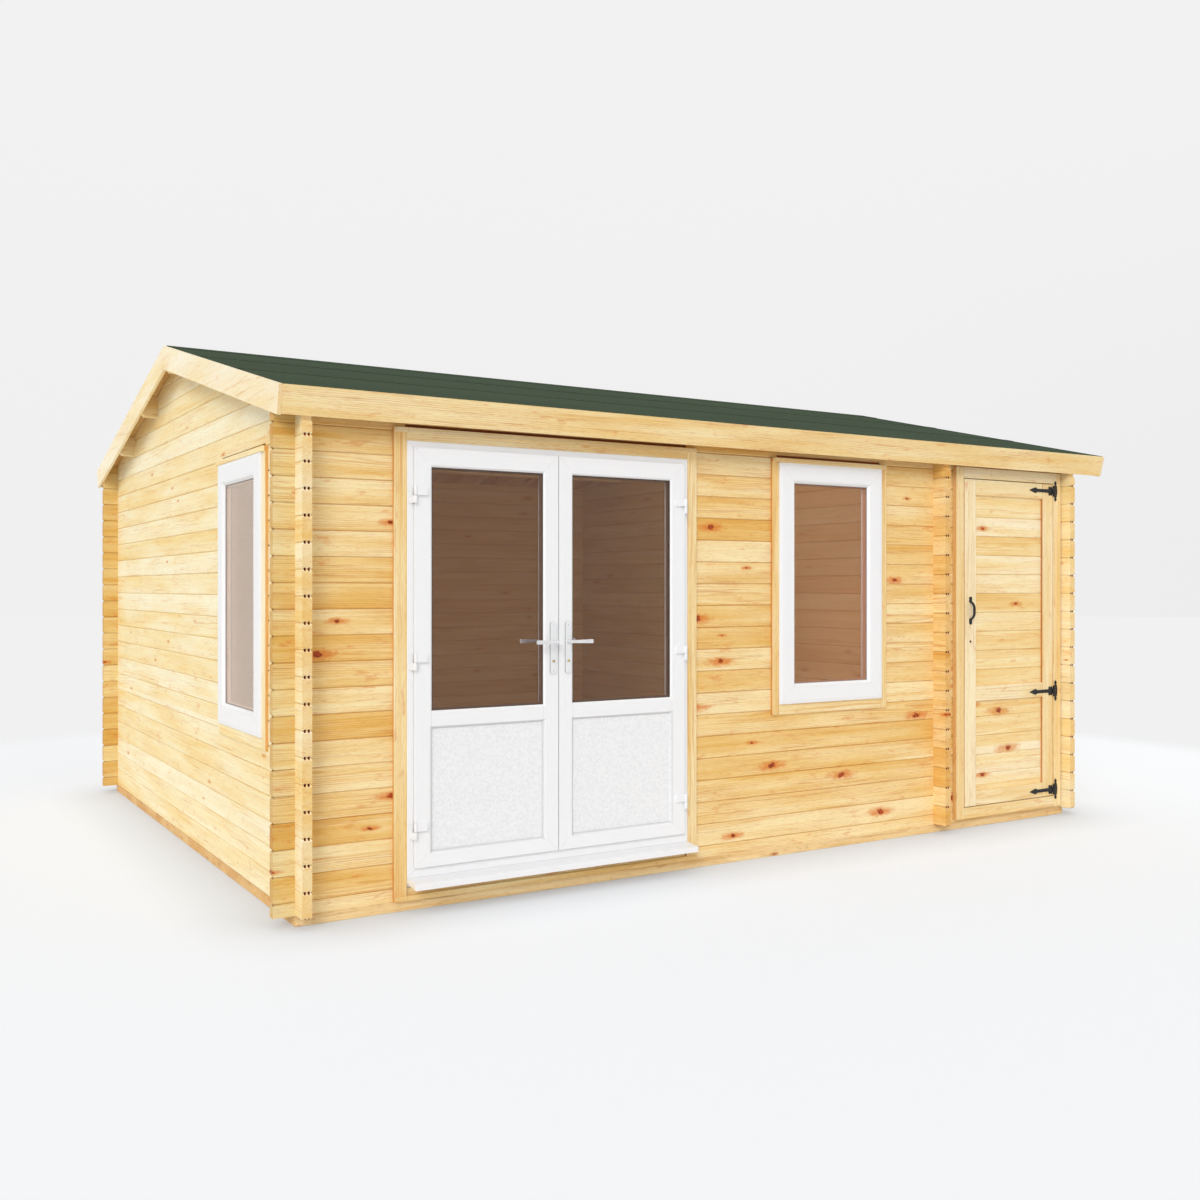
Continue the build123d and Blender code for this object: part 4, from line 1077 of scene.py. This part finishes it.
storeFrameWood = planedFrame("storeLeafWood", "x", leafLow, leafHigh, storeDoor["stile"], "planed", 97.0)
storeLeafFrame = frameBench.piece("storeLeafFrame", storeFrameWood, "store_door", "sawn",
                                  storeDoor["arris"])
boardBench.piece("storeLeafBoards", storeBoardWood(), "store_door", "sawn")
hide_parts("store_leaf")
dress(blackIron, "store_hinges_fixed", "store_hinge_straps", "store_pull")

ironwork = {
    "hinges": (0.170, 0.797, 2.066),
    "proud": 0.004,
    "strapHoles": (0.046, 0.100, 0.150),   # from the tip of a strap
    "heelInset": 0.034,
    "heelRise": 0.016,
    "plateInset": 0.016,
    "plateRise": 0.049,
    "pullFoot": 0.1195,       # the pull's screws, from the keyhole plate's foot and from its top
    "pullTop": 0.0095,
    "screwHead": 0.0046,
    "dome": 0.5,
    "keyholeRise": 0.007,
    "keyholeRadius": 0.0024,
    "keyholeHalf": 0.0011,
    "keyholeDrop": 0.005,
    "keyholeLift": 0.0015,
    "keyholeProud": 0.0019,
    "keyholeDepth": 0.0006,
}
strapLow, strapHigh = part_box("store_hinge_straps")
pullLow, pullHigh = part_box("store_pull")
pullX = (pullLow.x + pullHigh.x) / 2
ironFace = storeLow.y - ironwork["proud"]
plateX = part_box("store_hinges_fixed")[1].x - ironwork["plateInset"]
strapSpots, plateSpots = [], []
for z in ironwork["hinges"]:
    strapSpots += [(strapLow.x + hole, ironFace, z) for hole in ironwork["strapHoles"]]
    for way in (-1, 1):
        strapSpots.append((strapHigh.x - ironwork["heelInset"], ironFace, z + way * ironwork["heelRise"]))
        plateSpots.append((plateX, ironFace, z + way * ironwork["plateRise"]))
for z in (pullLow.z + ironwork["pullFoot"], pullHigh.z - ironwork["pullTop"]):
    strapSpots.append((pullX, leafLow.y - ironwork["proud"], z))
for name, spots, body in (("strapScrews", strapSpots, "store_door"),
                          ("hingePlateScrews", plateSpots, "building")):
    screws = Bench()
    for spot in spots:
        screwHead(screws, Vector(spot), (0, -1, 0), ironwork["screwHead"], ironwork["dome"])
    screws.piece(name, blackIron, body, "black")
keyhole = Bench()
keyZ = pullLow.z + ironwork["keyholeRise"]
keyBack = leafLow.y - ironwork["keyholeProud"]
keyFace = keyBack - ironwork["keyholeDepth"]
radius, half = ironwork["keyholeRadius"], ironwork["keyholeHalf"]
keyhole.turned([(radius, 0.0), (radius, ironwork["keyholeDepth"])],
               (pullX, keyBack, keyZ + ironwork["keyholeLift"]), (0, -1, 0), 12)
keyhole.block((pullX - half, keyFace, keyZ - ironwork["keyholeDrop"]), (pullX + half, keyBack, keyZ))
keyhole.piece("keyhole", rubber, "store_door", "black")
print("store door hung")

# softened edges on the CAD pieces that are plain boards and profiles
soft = {
    0.0015: ("fascias", "bargeboards", "door_trim", "front_window_trim", "side_window_trim",
             "store_frame", "purlins"),
    0.0022: ("left_leaf", "right_leaf", "door_frame", "front_window_frame", "side_window_frame",
             "door_cill"),
    0.0010: ("store_hinges_fixed", "store_hinge_straps", "door_hinges_fixed"),
    0.0020: ("left_leaf_fittings", "right_leaf_fittings"),
}
for width, names in soft.items():
    for name in names:
        piece = nodes[name]
        weld = piece.modifiers.new("weld", "WELD")
        weld.merge_threshold = 0.00005
        flat = piece.modifiers.new("flat", "DECIMATE")
        flat.decimate_type = "DISSOLVE"
        flat.angle_limit = math.radians(1)
        soften(piece, width)
print("edges softened")

# floor, world, lamps and camera
studio = {
    "floorRadius": 60.0,
    "floorColour": 0.88,
    "floorShown": (0.410, 0.427, 0.452),   # as seen, with the lift, so shadows stay pale
    "floorLift": 0.545,
    # painted contact shadow on the floor near the cabin: its reach and depth
    "contactShadowReach": 0.5,
    "contactShadowDepth": 0.42,
    # painted light: the floor is lifted brighter towards +x
    "brightSide": 0.055,
    "brightFrom": 1.5,
    "brightTo": 4.5,
    "backdropFar": tint(241, 241, 241),
    "fadeFrom": 5.7,
    "fadeTo": 6.5,
    "skyLow": tint(240, 240, 240),
    "skyHigh": tint(242, 242, 242),
    "skySide": tint(237, 237, 237),
    "ambient": 0.66,
    "keyStrength": 1.45,
    "keyFrom": (-0.62, -0.60, 0.50),
    "keySpread": 30.0,
    "roomLamps": (            # place, aim and power; they stand in for daylight inside
        ((-0.6, -1.2, 2.0), (1.0, 0.2, -0.35), 9.6),
        ((-1.3, -1.7, 2.15), (0.1, 1.0, -0.2), 0.6),
    ),
    "roomLampSize": 0.9,
    "roomLampTone": (1.0, 0.97, 0.95),
}
floorMesh = bpy.data.meshes.new("studioFloor")
disc = bmesh.new()
bmesh.ops.create_circle(disc, cap_ends=True, radius=studio["floorRadius"], segments=96)
disc.to_mesh(floorMesh)
disc.free()
studioFloor = bpy.data.objects.new("studioFloor", floorMesh)
studioFloor.location = (0, 0, -0.001)
scene.collection.objects.link(studioFloor)


def seenRay(f):  # 1 for what is seen directly, in a reflection or through glass
    path = f.add("ShaderNodeLightPath", out="Is Camera Ray")
    seen = path.math("MAXIMUM", path.of("Is Glossy Ray"))
    return seen.math("MAXIMUM", path.of("Is Transmission Ray"))


f = newFinish("studioFloor")
x, y, z = f.place()
away = (x ** 2.0 + y ** 2.0) ** 0.5
seen = seenRay(f)
paper = f.add("ShaderNodeBsdfDiffuse", values=[(studio["floorColour"],) * 3 + (1,)])
shownPaper = f.add("ShaderNodeBsdfDiffuse", values=[(*studio["floorShown"], 1)])
# painted contact shadow: the floor's lift drops where ambient occlusion finds the cabin close by
contactShadow = 1.0 - f.add("ShaderNodeAmbientOcclusion", {"samples": 8}, {"Distance": studio["contactShadowReach"]}, "AO")
# painted light, a brighter floor towards +x
paintedSideLight = f.rise(x, studio["brightFrom"], studio["brightTo"]) * studio["brightSide"]
lit = studio["floorLift"] + paintedSideLight - contactShadow * studio["contactShadowDepth"]
lift = f.add("ShaderNodeEmission", values=[f.vector(lit, lit, lit), 1.0])
near = f.add("ShaderNodeAddShader", values=[shownPaper, lift])
backdrop = f.add("ShaderNodeEmission", values=[(*studio["backdropFar"], 1), 1.0])
far = f.rise(away, studio["fadeFrom"], studio["fadeTo"])
shown = f.add("ShaderNodeMixShader", values=[far, near, backdrop])
f.close(f.add("ShaderNodeMixShader", values=[seen, paper, shown]))
floorMesh.materials.append(f.owner)

world = bpy.data.worlds.new("studioWorld")
scene.world = world
f = Finish(world)
seen = seenRay(f)
direction = f.add("ShaderNodeTexCoord", out="Generated")
x, y, z = f.split(direction)
sky = f.blend(f.rise(z, 0.0, 0.5), studio["skyLow"], studio["skyHigh"])
sky = f.blend(f.rise(x, 0.6, 0.95) * f.fall(z, 0.0, 0.35), sky, studio["skySide"])
ambient = f.add("ShaderNodeBackground", values=[(1, 1, 1, 1), studio["ambient"]])
shown = f.add("ShaderNodeBackground", values=[sky, 1.0])
f.close(f.add("ShaderNodeMixShader", values=[seen, ambient, shown]))


def rig(data, away, place=(0, 0, 0)):  # a lamp or camera; away points out of its back
    made = bpy.data.objects.new(data.name, data)
    made.location = place
    made.rotation_euler = Vector(away).to_track_quat("Z", "Y").to_euler()
    scene.collection.objects.link(made)
    return made


key = bpy.data.lights.new("key", "SUN")
key.energy = studio["keyStrength"]
key.angle = math.radians(studio["keySpread"])
rig(key, studio["keyFrom"])
for count, (place, aim, power) in enumerate(studio["roomLamps"]):
    glow = bpy.data.lights.new(f"roomLamp{count}", "AREA")
    glow.energy = power
    glow.size = studio["roomLampSize"]
    glow.color = studio["roomLampTone"]
    lamp = rig(glow, -Vector(aim), place)
    lamp.visible_camera = False
    lamp.visible_glossy = False

view = {
    "lens": 36.454,
    "sensor": 36.0,
    "place": (-4.1937, -7.1672, 1.4484),
    "forward": (0.52394, 0.85175, 0.0),
    "shift": -0.00973,
    "clip": (0.05, 200.0),
}
camera = bpy.data.cameras.new("camera")
camera.lens = view["lens"]
camera.sensor_width = view["sensor"]
camera.shift_y = view["shift"]
camera.clip_start, camera.clip_end = view["clip"]
scene.camera = rig(camera, -Vector(view["forward"]), view["place"])
scene.view_settings.view_transform = "Standard"
print("studio set")
